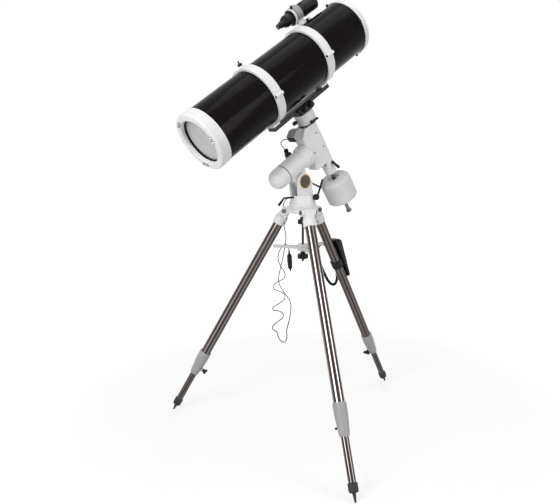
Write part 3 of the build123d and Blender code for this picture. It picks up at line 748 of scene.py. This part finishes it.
@dataclass
class BracketPaint(Finish):
    """Finder bracket: white rim and stem, grey barrel with painted shade in a groove from start to end, black
    screws.
    """

    start: float = 226.5
    end: float = 231.0
    radius: float = 38.0

    def draw(self) -> None:
        """Feeds the shader."""
        x, y, z = self.local(FINDER)
        lift = z - FINDER_OFFSET
        reach = length_of(y, lift)
        cloud, peel = self.noise(30.0, 3.0), self.noise(PEEL)
        white = self.blend(cloud.step(0.35, 0.75), (0.78, 0.78, 0.79), (0.72, 0.72, 0.73))
        grey = self.blend(cloud.step(0.3, 0.8), (0.33, 0.325, 0.345), (0.27, 0.265, 0.28))
        inner = reach.step(self.radius, self.radius - 0.6)
        barrel = x.step(self.start, self.start + 0.5) * inner * lift.step(-33.0, -31.0)
        # painted shade: the groove at the start of the barrel is dark
        groove = barrel * x.step(self.end, self.end - 0.5)
        screw = reach.step(36.6, 37.0) * lift.step(0.0, 2.0)
        colour = self.blend(groove, self.blend(barrel, white, grey), (0.03, 0.03, 0.032))
        self.set(Base_Color=self.blend(screw, colour, (0.013, 0.013, 0.014)), Roughness=0.36 + 0.14 * peel)
        self.bump(peel - groove * 6.0, 0.00006)


class CoatedLens(Finish):
    """Dark coated glass seen from outside."""

    def draw(self) -> None:
        """Feeds the shader."""
        smear = self.noise(90.0, 3.0)
        self.set(Base_Color=self.blend(smear.step(0.3, 0.9), (0.02, 0.03, 0.05), (0.01, 0.012, 0.02)),
                 Roughness=0.04 + 0.05 * smear, Coat_Weight=1.0, Coat_Roughness=0.02)


class Finishes:
    """Every finish of the telescope, made once."""

    steel: Colour = (0.135, 0.119, 0.112)
    shin_steel: Colour = (0.11, 0.097, 0.091)
    stain: Colour = (0.105, 0.092, 0.086)
    # each leg's painted reflection: turn of its first pale band and strength of its painted highlights
    highlight_turn = {Leg.FRONT: -127.0, Leg.RIGHT: 120.0, Leg.LEFT: -9.4}
    gleam = {Leg.FRONT: 0.38, Leg.RIGHT: 0.08, Leg.LEFT: 0.25}
    shin_painted_gleam = 0.3

    def __init__(self) -> None:
        """Makes the materials."""
        self.white = Enamel("white_enamel", WHITE, WHITE_SHADE)
        self.weight = Enamel("weight_enamel", (0.70, 0.705, 0.715), (0.64, 0.645, 0.66), 0.42, 0.00012)
        self.plate = Enamel("plate_enamel", (0.56, 0.565, 0.57), (0.50, 0.505, 0.51), 0.5)
        self.lacquer = TubeLacquer("tube_lacquer")
        self.knob = Moulded("knob_black", BLACK, (0.018, 0.017, 0.017))
        self.satin = Moulded("satin_black", BLACK, (0.016, 0.0155, 0.0155), 0.3, 800.0, 0.00003)
        self.bar = BarBlack("bar_black")
        self.grey = Moulded("motor_grey", (0.36, 0.345, 0.365), (0.42, 0.405, 0.425), 0.45, gloss=0.4)
        self.jacket = Moulded("cord_jacket", (0.010, 0.010, 0.011), (0.026, 0.026, 0.028), 0.5, 400.0, 0.00006)
        self.bright = Polished("bright_steel", (0.50, 0.49, 0.48), (0.42, 0.41, 0.40), FOCUSER, 0.2)
        self.dull = Polished("dark_screw", (0.10, 0.10, 0.105), (0.06, 0.058, 0.056), OPTICS, 0.32)
        self.shaft = Polished("shaft_steel", (0.20, 0.195, 0.19), (0.15, 0.145, 0.14), DECLINATION, 0.2)
        self.mirror = Silvered("silvered_mirror")
        aim = np.array([-cos(FOCUSER_TURN), sin(FOCUSER_TURN), -1.0]) / 2 ** 0.5
        self.flat_mirror = Silvered("flat_mirror", aim @ OPTICS.axes)
        self.cap = CapDisc("axle_cap", TRIPOD.inside(AXLE_CENTRE))
        self.cell = CellPlate("cell_plate")
        self.bracket = BracketPaint("bracket_paint")
        self.lens = CoatedLens("coated_lens")
        self.legs, self.shins, self.castings = {}, {}, {}
        for leg in Leg:
            place, highlight_turn, gleam = leg.place(), self.highlight_turn[leg], self.gleam[leg]
            self.legs[leg] = Polished(f"leg_steel_{leg.label}", self.steel, self.stain, place, 0.10, 0.35,
                                      highlight_turn, gleam)
            self.shins[leg] = Polished(f"shin_steel_{leg.label}", self.shin_steel, self.stain, place, 0.10, 0.5,
                                       highlight_turn, self.shin_painted_gleam * gleam, FOOT_CAP_TOP)
            self.castings[leg] = LegCastings(f"leg_paint_{leg.label}", place)


def coat(node: str, finish: Finish) -> None:
    """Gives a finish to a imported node.

    Args:
        node: the node's name.
        finish: the finish.
    """
    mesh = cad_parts[node].data
    mesh.materials.clear()
    mesh.materials.append(finish.material)
    LOG.info("%s dressed in %s", node, finish.name)


# Sub-assemblies


@dataclass
class Looks:
    """Looks of one sub-assembly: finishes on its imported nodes, and the small fittings that they lack."""

    finishes: Finishes

    def dress(self, **nodes: str) -> None:
        """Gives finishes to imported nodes.

        Args:
            nodes: under each finish's name, the names of its nodes with spaces between them.
        """
        for finish, names in nodes.items():
            for name in names.split():
                coat(name, getattr(self.finishes, finish))

    def fitting(self, name: str, body: str | None, parts: Sequence[Part], slot: str = "black_plastic",
                finish: str = "knob") -> Object:
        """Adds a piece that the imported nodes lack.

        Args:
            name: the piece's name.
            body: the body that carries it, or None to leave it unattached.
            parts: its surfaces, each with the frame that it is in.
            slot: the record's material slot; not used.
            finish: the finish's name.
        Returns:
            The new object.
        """
        starts = np.cumsum([0] + [len(points) for (points, _), _ in parts])
        points = np.concatenate([place.metres(points) for (points, _), place in parts])
        faces = np.concatenate([faces + start for ((_, faces), _), start in zip(parts, starts)])
        mesh = bpy.data.meshes.new(name)
        mesh.from_pydata(points.tolist(), [], faces.tolist())
        close_seams(mesh)
        mesh.shade_smooth()
        mesh.set_sharp_from_angle(angle=SHARP_EDGE)
        mesh.materials.append(getattr(self.finishes, finish).material)
        piece = placed(name, mesh)
        if body is not None:
            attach(piece, body)
        LOG.info("%s on %s, %d faces", name, body or "two bodies", len(mesh.polygons))
        return piece


@dataclass
class TripodLooks(Looks):
    """Legs, head, spreader and their small hardware."""

    grub_size: Pair = (3.2, 1.2)
    grub_turns: Pair = (58.0, 122.0)
    grub_reach: float = 28.0
    grub_place: float = -50.0

    def build(self) -> None:
        """Dresses the nodes and adds the socket screws on the inner side of each leg's top casting."""
        self.dress(white="tripod_head", plate="spreader", dull="leg_bolts", satin="centre_rod",
                   knob="spreader_knob")
        screw = cap_screw(*self.grub_size)
        for leg in Leg:
            name = f"leg_{leg.label}"
            coat(f"{name}_castings", self.finishes.castings[leg])
            coat(f"{name}_upper", self.finishes.legs[leg])
            coat(f"{name}_lower", self.finishes.shins[leg])
            self.dress(knob=f"{name}_screw")
            spots = [leg.place().on_wall(turn, self.grub_reach, self.grub_place) for turn in self.grub_turns]
            self.fitting(f"{name}_grub_screws", name, at(spots, screw), "black_metal", "satin")


@dataclass
class MountLooks(Looks):
    """Fork, polar and declination housings, counterweight and the small fittings on them."""

    cover_screw: Pair = (3.4, 1.1)
    cover_screws: tuple[Pair, ...] = ((-59.0, -7.9), (8.3, -3.5), (7.4, -57.3))
    housing_half: float = 32.0
    nose_screw: Pair = (3.8, 1.6)
    nose_turn: float = -55.0
    nose_reach: float = 31.0
    nose_place: float = 92.0
    puck_knob: Point = (-11, -135, -41)
    puck_knob_size: Point = (8.5, 6, 21)
    block_size: Point = (13.0, 12.0, 34.0)
    plug_size: Point = (9.0, 8.0, 12.0)
    plug_rise: float = 33.0
    block_turn: float = 228.0
    block_reach: float = 36.0
    block_place: float = -146.0
    block_lean: float = 25.0
    seam_place: float = -223.7
    grip_ends: tuple[Point, Point] = ((38.0, 101.2, 6.0), (60.5, 124.8, 6.0))
    grip_radius: float = 5.2
    grip_swell: float = 2.6
    grip_round: float = 0.82
    # place and size of the dark plate of painted shade under the motor cover
    gear_plate: Point = (-4, -92, -106)
    shade_plate_size: Point = (22.0, 12.0, 8.0)

    def build(self) -> None:
        """Dresses the nodes and adds the fittings."""
        self.dress(white="fork ra_housing polar_cap dec_housing saddle", cap="altitude_axle",
                   knob="azimuth_knobs ra_clutch_lever shaft_lock_lever weight_knob saddle_knob_front "
                        "saddle_knob_rear dec_clutch_lever",
                   satin="altitude_bolt_south altitude_bolt_north saddle_clamp", bar="dovetail_bar",
                   grey="dec_motor_box", shaft="counterweight_shaft", weight="counterweight")
        self.housing_screws()
        self.saddle_groove_shade()
        self.side_knob()
        self.plug_block()
        self.polar_seal()
        self.lock_grip()
        self.motor_painted_shade()

    def housing_screws(self) -> None:
        """Socket screws on the two flat sides of the declination housing and on its nose."""
        spots = [MOUNT.inside((side * self.housing_half, down, along), (side, 0, 0), (0, 0, 1))
                 for side in (1, -1) for down, along in self.cover_screws]
        parts = at(spots, cap_screw(*self.cover_screw))
        x, z = cos(radians(self.nose_turn)), sin(radians(self.nose_turn))
        nose = MOUNT.inside((self.nose_reach * x, self.nose_place, self.nose_reach * z), (x, 0, z), (0, 1, 0))
        parts.append((cap_screw(*self.nose_screw), nose))
        self.fitting("declination_cover_screws", "polar", parts, "steel_bar", "dull")

    def saddle_groove_shade(self) -> None:
        """Black ring of painted shade in the groove under the turning puck, with a sloping inner side."""
        # painted shade: a black ring where the gap under the puck falls in shade
        section = [(36.0, -104.6), (41.2, -104.6), (42.2, -106.0), (42.0, -109.6), (36.0, -104.6)]
        self.fitting("saddle_groove_shade", "declination", [(lathe(section, 72), DECLINATION)])

    def side_knob(self) -> None:
        """Small clamp knob on the south side of the puck."""
        spot = MOUNT.inside(self.puck_knob, (0, 0, -1))
        head = lathe(knob_profile(*self.puck_knob_size), 56, 7, 0.16)
        self.fitting("saddle_side_knob", "declination", at([spot], lathe(rod(4, 7), 24), head))

    def plug_block(self) -> None:
        """Connector block on the polar housing that the motor lead plugs into, leaning along the axis."""
        turn, lean = radians(self.block_turn), radians(self.block_lean)
        out = np.array([cos(turn) * cos(lean), sin(turn) * cos(lean), sin(lean)])
        foot = np.array([self.block_reach * cos(turn), self.block_reach * sin(turn), self.block_place])
        block = (0.0, pad(*self.block_size)), (self.plug_rise, pad(*self.plug_size))
        parts = [(surface, MOUNT.inside(foot + rise * out, out, (0, 0, 1))) for rise, surface in block]
        self.fitting("motor_plug_block", "altitude", parts)

    def polar_seal(self) -> None:
        """Dark seal in the groove of the polar cap: a flat ring."""
        section = [(39.5, -1.3), (41.4, -1.3), (41.4, 1.3), (39.5, 1.3), (39.5, -1.3)]
        spot = MOUNT.inside((0, 0, self.seam_place))
        self.fitting("polar_cap_seal", "altitude", [(lathe(section, 72), spot)])

    def lock_grip(self) -> None:
        """Thick rounded grip on the shaft's lock lever: a profile turned round the lever's rod."""
        root, tip = np.array(self.grip_ends)
        length = float(np.linalg.norm(tip - root))
        share = np.linspace(0, 1, 14)
        swell = self.grip_radius + self.grip_swell * share ** 1.5
        end = np.clip((share - self.grip_round) / (1 - self.grip_round), 0, 1)
        radius = swell * np.sqrt(np.clip(1 - end ** 2, 0, 1))
        outline = [(0.0, 0.0), *zip(radius.tolist(), (share * length).tolist())]
        spot = MOUNT.inside(root, tip - root, (0, 0, 1))
        self.fitting("shaft_lock_grip", "shaft_lock", [(lathe(outline, 32), spot)])

    def motor_painted_shade(self) -> None:
        """Dark plate under the declination motor's cover: painted shade where its underside is in shade."""
        # painted shade: a dark plate where the motor cover's underside is in shade
        spot = MOUNT.inside(self.gear_plate, (0, 0.25, -1))
        self.fitting("motor_painted_shade_plate", "polar", [(pad(*self.shade_plate_size), spot)])


@dataclass
class TubeLooks(Looks):
    """Optical tube, its rings, cell, focuser and open end."""

    vane_turns: tuple[float, ...] = (-14.0, 76.0, 166.0, 256.0)
    vane_place: float = 375.0
    vane_nut: Point = (5.2, 0, 8.5)
    draw_turns: tuple[float, ...] = (200.0, 320.0)
    draw_reach: float = 32.6
    draw_place: float = 173.0
    ring_places: Pair = (-178.0, 129.0)
    ring_width: float = 37.0
    hinge_reach: float = 129.0
    hinge_head: Pair = (4.6, 2.2)
    sunk: float = 0.3

    def build(self) -> None:
        """Dresses the nodes and adds the vane nuts, the eyepiece screws and the hinge pins' heads."""
        self.dress(lacquer="main_tube",
                   white="rings_lower ring_rear_upper ring_front_upper front_ring rear_ring focuser_body",
                   knob="ring_rear_knob ring_front_knob piggyback_knob focus_knobs", satin="spider",
                   bright="collimation_screws drawtube", cell="mirror_cell", mirror="primary_mirror",
                   flat_mirror="secondary_mirror")
        self.vane_screws()
        self.draw_screws()
        self.hinge_pins()

    def vane_screws(self) -> None:
        """Knurled nuts that pull the four vanes tight, outside the tube."""
        nut = lathe(knob_profile(*self.vane_nut), 48, 12, 0.1)
        spots = [OPTICS.on_wall(turn, TUBE_RADIUS - 0.5, self.vane_place) for turn in self.vane_turns]
        self.fitting("vane_screws", "tube", at(spots, nut))

    def draw_screws(self) -> None:
        """Two thumb screws that hold the eyepiece."""
        spots = [FOCUSER.on_wall(turn, self.draw_reach, self.draw_place) for turn in self.draw_turns]
        self.fitting("eyepiece_screws", "draw", at(spots, *thumb_screw(2, 5.0)))

    def hinge_pins(self) -> None:
        """Dark heads on both ends of each tube ring's hinge pin."""
        head = cap_screw(*self.hinge_head, 24)
        ends = [(end, way) for low in self.ring_places for end, way in ((low, -1), (low + self.ring_width, 1))]
        spots = [OPTICS.inside((self.hinge_reach, 0, end - way * self.sunk), (0, 0, way)) for end, way in ends]
        self.fitting("ring_hinge_pins", "cradle", at(spots, head), "black_metal", "satin")


@dataclass
class FinderLooks(Looks):
    """Finder, its bracket and their glass."""

    lens_radius: float = 27.4
    lens_crown: float = 7.0
    lens_bulge: float = 4.0
    lens_place: float = 335.0
    eye_place: float = 136.0
    shoe_screw: Point = (256, -16.6, 118)

    def build(self) -> None:
        """Dresses the nodes and adds the two lenses and the shoe's thumb screw."""
        self.dress(bracket="finder_bracket", satin="finder_tube")
        shares = np.linspace(0, 1, 12).tolist()
        bulge = [(self.lens_radius * t, self.lens_crown - self.lens_bulge * (t * t)) for t in shares]
        bulge.append((self.lens_radius, -0.5))
        front = FINDER.inside((self.lens_place, 0, FINDER_OFFSET), (1, 0, 0), (0, 1, 0))
        self.fitting("finder_lens", "tube", [(lathe(bulge, 48), front)], finish="lens")
        eye = [(0, 0.9), (4.0, 0.7), (6.2, 0.2), (6.2, -0.5)]
        rear = FINDER.inside((self.eye_place, 0, FINDER_OFFSET), (-1, 0, 0), (0, 1, 0))
        self.fitting("finder_eye_lens", "tube", [(lathe(eye, 32), rear)], finish="lens")
        shoe = FINDER.inside(self.shoe_screw, (0, -1, 0))
        self.fitting("finder_shoe_screw", "tube", at([shoe], *thumb_screw(2.2, 5.5)))


@dataclass
class ControllerLooks(Looks):
    """Hand controller on the right leg: round-topped holder, strap, clip for the lead, screen and soft keys.

    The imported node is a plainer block; the holder stands in the same place. Measures are in the leg's frame,
    and pairs run from the holder's top to its foot.
    """

    rows: int = 4
    columns: int = 3
    key_pitch: Pair = (16.0, 15.0)
    key_size: Point = (5.6, 4.6, 2.4)
    screen_size: Point = (21.0, 11.0, 1.4)
    screen_lift: float = 42.0
    face_level: float = -276.0
    back: float = -23.6
    top: float = -191.0
    foot: float = -406.0
    dome: float = 30.0
    toe: float = 6.0
    depth: Pair = (38.0, 12.0)
    half_width: Pair = (31.0, 20.0)
    strap: Pair = (-327.0, -289.0)
    strap_radii: Pair = (22.55, 26.5)
    strap_edge: float = 0.8
    boss_ends: tuple[Point, Point] = ((15.0, -34.1, -343.3), (39.4349, -30.4459, -374.5515))
    boss_radius: float = 5.6
    clip: Point = (23.4, 0, -196)
    clip_size: Point = (8.0, 10.0, 12.0)

    def build(self) -> None:
        """Makes the holder in place of the node and adds the screen and the keys."""
        leg = Leg.RIGHT.place()
        boss = carried(np.linspace(*self.boss_ends, 12), self.boss_radius, 20)
        clip = leg.inside(self.clip, (1, 0, 0), (0, 1, 0))
        parts = at([leg], self.holder(), self.band(), boss) + at([clip], pad(*self.clip_size))
        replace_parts(self.fitting("controller_holder", "leg_right", parts), "hand_controller")
        face = self.face(leg)
        screen = face.inside((0, self.screen_lift, 0))
        self.fitting("controller_screen", "leg_right", [(pad(*self.screen_size), screen)], finish="lens")
        key = pad(*self.key_size, 0.6, 28)
        across, down = self.key_pitch
        spots = [face.inside(((column - 1) * across, across - row * down, 0))
                 for row in range(self.rows) for column in range(self.columns)]
        self.fitting("controller_keys", "leg_right", at(spots, key), "grey_plastic", "grey")

    def band(self) -> Surface:
        """The strap: a ring about the leg with rounded outer edges."""
        (low, high), (inner, outer), edge = self.strap, self.strap_radii, self.strap_edge
        return lathe([(inner, low), (outer - edge, low), (outer, low + edge), (outer, high - edge),
                      (outer - edge, high), (inner, high), (inner, low)], 64)

    def face(self, leg: Place) -> Place:
        """Frame on the holder's sloping front.

        Args:
            leg: the leg's frame.
        Returns:
            The frame, with X across and Z outwards.
        """
        upper, lower = self.depth
        lean = (upper - lower) / (self.top - self.foot)
        share = (self.top - self.face_level) / (self.top - self.foot)
        front = self.back - upper + (upper - lower) * share
        return leg.inside((0, front, self.face_level), (0, -1, -lean))

    def holder(self) -> Surface:
        """Rounded sections down the leg, drawn in over a dome at the top and a small round at the foot.

        Returns:
            Points and quads in the leg's frame.
        """
        share = (1 - np.cos(np.linspace(0, pi, 73))) / 2
        height = self.top + (self.foot - self.top) * share
        rise = np.clip((self.top - height) / self.dome, 0, 1)
        shoulder = np.clip((self.top - height) / (0.45 * self.dome), 0, 1)
        toe = np.clip((height - self.foot) / self.toe, 0, 1)
        end = np.sqrt(1 - (1 - toe) ** 2)
        deep_share = np.clip(np.sqrt(1 - (1 - rise) ** 2) * end, 0.08, 1)
        wide_share = np.clip(np.sqrt(1 - (1 - shoulder) ** 2) * end, 0.3, 1)
        deep = np.interp(share, (0, 1), self.depth) * deep_share
        wide = np.interp(share, (0, 1), self.half_width) * wide_share
        across, over = superellipse(48, 0.3)
        out = (over - 1) / 2
        level = np.repeat(height[:, None], len(across), 1)
        return skin(np.stack([wide[:, None] * across, self.back + deep[:, None] * out, level], axis=-1))


# Cords


POWER_ROUTE: tuple[Point, ...] = (
    (-61.3, -14.67, 1030), (-84, -20, 1028), (-102, -23, 1006), (-109, -22, 968), (-110, -19, 930),
    (-106, -15, 889), (-102, -9, 857), (-105, -13, 821), (-111, -17, 780), (-116, -25, 735),
    (-122, -33, 696), (-127, -38, 656), (-119, -29, 617), (-99, -10, 583), (-85, 3, 550),
    (-87, 1, 508), (-92, -5, 463), (-101, -14, 420), (-95, -14, 388), (-104, -17, 363),
    (-127, -25, 362), (-136, -35, 386), (-133, -42, 413), (-153, -53, 419), (-174, -38, 426),
    (-163, -20, 447), (-136, -3, 469), (-139, 0, 492), (-153, -23, 506), (-171, -37, 504),
    (-191, -22, 513), (-172, -5, 528), (-141, 9, 551), (-134, 9, 579), (-145, -13, 596),
    (-165, -35, 604), (-170, -29, 629), (-145, -16, 645), (-124, -1, 660), (-123, 0, 686),
    (-137, -16, 714), (-144, -27, 751), (-135, -23, 789), (-118, -10, 818), (-98, -2, 818),
    (-91, -3, 794),
)
LEAD_ROUTE: tuple[Point, ...] = (
    (-54, 168.6, 809.5), (-78, 165, 800), (-95, 168, 766), (-95, 180, 724), (-90, 195, 684),
    (-84, 211, 646), (-82, 234, 608), (-81, 268, 588), (-88, 295, 612), (-90, 291, 648), (-70.2, 283.4, 670.3),
)
MOTOR_ROUTE: tuple[Point, ...] = (
    (-18, -96, -111), (-22, -101, -119), (-36, -102, -127), (-52, -92, -132), (-58, -78, -132),
    (-57, -66, -129.5), (-50.2, -55.8, -127.8),
)


def spline(name: str, points: Array, radius: float) -> Object:
    """Smooth NURBS curve with the route's points as its control points.

    Args:
        name: the curve's name.
        points: control points in metres.
        radius: half the cord's thickness, or 0 for a bare line.
    Returns:
        The curve object.
    """
    curve = bpy.data.curves.new(name, "CURVE")
    curve.dimensions = "3D"
    curve.resolution_u = 10
    line = curve.splines.new("NURBS")
    line.points.add(len(points) - 1)
    line.points.foreach_set("co", np.c_[points, np.ones(len(points))].ravel())
    line.order_u = 3
    line.use_endpoint_u = True
    curve.bevel_depth = radius
    curve.bevel_resolution = 4
    curve.use_fill_caps = radius > 0
    return placed(name, curve)


def centre_line(points: Array, spacing: float) -> Array:
    """Evenly spaced points read from a route's NURBS curve.

    Args:
        points: control points in metres.
        spacing: distance between the points that come back.
    Returns:
        Points along the curve.
    """
    guide = spline("guide", points, 0.0)
    bpy.context.view_layer.update()
    mesh = bpy.data.meshes.new_from_object(guide)
    line = np.empty(len(mesh.vertices) * 3)
    mesh.vertices.foreach_get("co", line)
    line = line.reshape(-1, 3)
    bpy.data.objects.remove(guide)
    bpy.data.meshes.remove(mesh)
    run = run_along(line)
    places = np.linspace(0, run[-1], max(2, int(run[-1] / spacing)))
    return np.stack([np.interp(places, run, line[:, k]) for k in range(3)], axis=-1)


@dataclass
class Cords(Looks):
    """Power cord, curly controller lead and the motor's short lead."""

    power_radius: float = 2.0
    boot_length: float = 20.0
    boot_radius: float = 5.2
    boot_taper: float = 2.6
    rib_depth: float = 0.35
    wire_radius: float = 1.6
    curl_radius: float = 5.6
    pitch: float = 3.7
    straight: float = 3.0
    ease: float = 9.0
    motor_radius: float = 1.9

    def build(self) -> None:
        """Makes the three cords and their boot."""
        self.power()
        self.lead()
        self.motor()

    def power(self) -> None:
        """Power cord that hangs in loose loops to its plug, with a tapered boot at the fork's socket."""
        self.dress(knob="power_plug")
        route = TRIPOD.metres(np.array(POWER_ROUTE))
        cord = spline("power_cord_line", route, self.power_radius * MM)
        cord.data.materials.append(self.finishes.jacket.material)
        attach(cord, "azimuth")
        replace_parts(cord, "power_cord")
        start = TRIPOD.inside(POWER_ROUTE[0], np.subtract(POWER_ROUTE[1], POWER_ROUTE[0]), (0, 0, 1))
        rise = np.linspace(0, self.boot_length, 41)
        cone = self.boot_radius - self.boot_taper * rise / self.boot_length
        ribs = cone - self.rib_depth * (np.sin(rise * 2.0) > 0.3)
        outline = [(0, 0.0), *zip(ribs.tolist(), rise.tolist()), (0, self.boot_length)]
        boot = at([start], lathe(outline, 24))
        sleeve = self.fitting("power_cord_boot", "azimuth", boot, "cord_rubber", "jacket")

    def lead(self) -> None:
        """Curly lead: a wire wound round the route's line, drawn straight at both ends."""
        line = centre_line(TRIPOD.metres(np.array(LEAD_ROUTE)), 0.2 * MM)
        run = run_along(line) / MM
        side, over = square_to(tangents(line))
        inward = np.minimum(run - self.straight, run[-1] - self.straight - run)
        ends = np.clip(inward / self.ease, 0, 1)
        reach = self.curl_radius * MM * ends ** 2 * (3 - 2 * ends)
        turn = 2 * pi * run / self.pitch
        wire = line + reach[:, None] * (np.cos(turn)[:, None] * side + np.sin(turn)[:, None] * over)
        surface = carried(wire / MM, self.wire_radius, 7)
        piece = self.fitting("controller_curly_lead", "leg_right", [(surface, SHARED)], "cord_rubber", "jacket")
        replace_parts(piece, "controller_lead")

    def motor(self) -> None:
        """Short lead of the declination motor."""
        line = centre_line(MOUNT.metres(np.array(MOTOR_ROUTE)), 1.5 * MM)
        surface = carried(line / MM, self.motor_radius, 12)
        piece = self.fitting("motor_lead", None, [(surface, SHARED)], "cord_rubber", "jacket")
        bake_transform(piece)


# Studio


@dataclass(frozen=True)
class Softbox:
    """One soft lamp."""

    name: str
    spot: Point
    aim: Point
    width: float
    height: float
    power: float


@dataclass
class Studio:
    """Camera at the photograph's angle, pale floor, plain light."""

    eye: Point = (1.89721, -1.70473, 1.29939)
    right: Point = (0.662014, 0.749491, -0.000676)
    up: Point = (-0.144040, 0.128113, 0.981244)
    ahead: Point = (-0.73552, 0.64950, -0.19277)
    sensor: float = 36.0
    pixels: float = 560.0
    focal: float = 598.7716
    shift: float = -30.0
    sky: float = 0.34
    sky_tint: Colour = (1.0, 0.985, 0.97)
    floor_reach: float = 60.0
    floor_level: float = -0.0005
    lamps: tuple[Softbox, ...] = (
        Softbox("key", (0.8, -3.5, 2.3), (-0.1, 0.0, 1.1), 1.7, 3.0, 94.0),
        Softbox("fill", (3.5, 1.0, 1.7), (0.0, 0.0, 0.9), 1.0, 3.2, 44.0),
        Softbox("over", (0.2, 0.4, 4.2), (0.0, 0.0, 1.0), 1.5, 2.6, 24.0),
        Softbox("back", (-2.6, 2.4, 2.4), (0.0, 0.0, 1.1), 0.9, 2.0, 20.0),
    )

    def build(self) -> None:
        """Makes the camera, floor, world and lamps."""
        self.camera()
        self.floor()
        self.world()
        for lamp in self.lamps:
            self.lamp(lamp)
        bpy.context.scene.view_settings.view_transform = "Standard"

    def camera(self) -> None:
        """Camera fitted to the feet, head, polar axis and tube ends in the photograph."""
        data = bpy.data.cameras.new("camera")
        data.sensor_width = self.sensor
        data.lens = self.focal * self.sensor / self.pixels
        data.shift_x = self.shift / self.pixels
        data.clip_start = 0.05
        camera = placed("camera", data)
        turn = Matrix((self.right, self.up, [-v for v in self.ahead])).transposed()
        camera.matrix_world = Matrix.Translation(self.eye) @ turn.to_4x4()
        bpy.context.scene.camera = camera

    def floor(self) -> None:
        """Wide pale floor: white to the eye, with the object's soft shadow, and plain pale to other light."""
        graph = Graph("studio_floor")
        graph.set(Base_Color=(0.62, 0.62, 0.62), Roughness=0.9, Specular_IOR_Level=0.1)
        x, y, _ = graph.local(SHARED)
        far = length_of(x, y).step(900.0, 2600.0)
        shade = graph.node("BsdfDiffuse", {"Color": (0.34, 0.34, 0.34)})
        glow = graph.node("Emission", {"Color": (1.0, 1.0, 1.0), "Strength": 0.70 + 0.30 * far})
        seen = graph.node("AddShader", {0: shade.outputs[0], 1: glow.outputs[0]})
        graph.show(graph.shader, seen, "Material Output")
        mesh = bpy.data.meshes.new("studio_floor")
        corners = [(x * self.floor_reach, y * self.floor_reach, self.floor_level)
                   for x, y in ((-1, -1), (1, -1), (1, 1), (-1, 1))]
        mesh.from_pydata(corners, [], [(0, 1, 2, 3)])
        mesh.materials.append(graph.material)
        placed("studio_floor", mesh)

    def world(self) -> None:
        """White to the eye, plain grey to the surfaces."""
        world = bpy.data.worlds.new("studio")
        bpy.context.scene.world = world
        tree = Tree(world)
        sky = tree.nodes["Background"]
        tree.feed(sky.inputs["Color"], self.sky_tint)
        tree.feed(sky.inputs["Strength"], self.sky)
        white = tree.node("Background", {"Color": (1.0, 1.0, 1.0)})
        tree.show(sky, white, "World Output")

    def lamp(self, box: Softbox) -> None:
        """One rectangular softbox.

        Args:
            box: its place, size and power.
        """
        data = bpy.data.lights.new(box.name, "AREA")
        data.shape = "RECTANGLE"
        data.size, data.size_y = box.width, box.height
        data.energy = box.power
        lamp = placed(box.name, data)
        lamp.location = box.spot
        lamp.rotation_euler = (Vector(box.aim) - Vector(box.spot)).to_track_quat("-Z", "Y").to_euler()


def main() -> None:
    """Builds the looks in order: studio and cords, then each sub-assembly."""
    logging.basicConfig(level=logging.INFO, format="%(name)s: %(message)s")
    Studio().build()
    finishes = Finishes()
    for assembly in (Cords, TripodLooks, MountLooks, TubeLooks, FinderLooks, ControllerLooks):
        assembly(finishes).build()
        LOG.info("%s done", assembly.__name__)


if __name__ == "__main__":
    main()
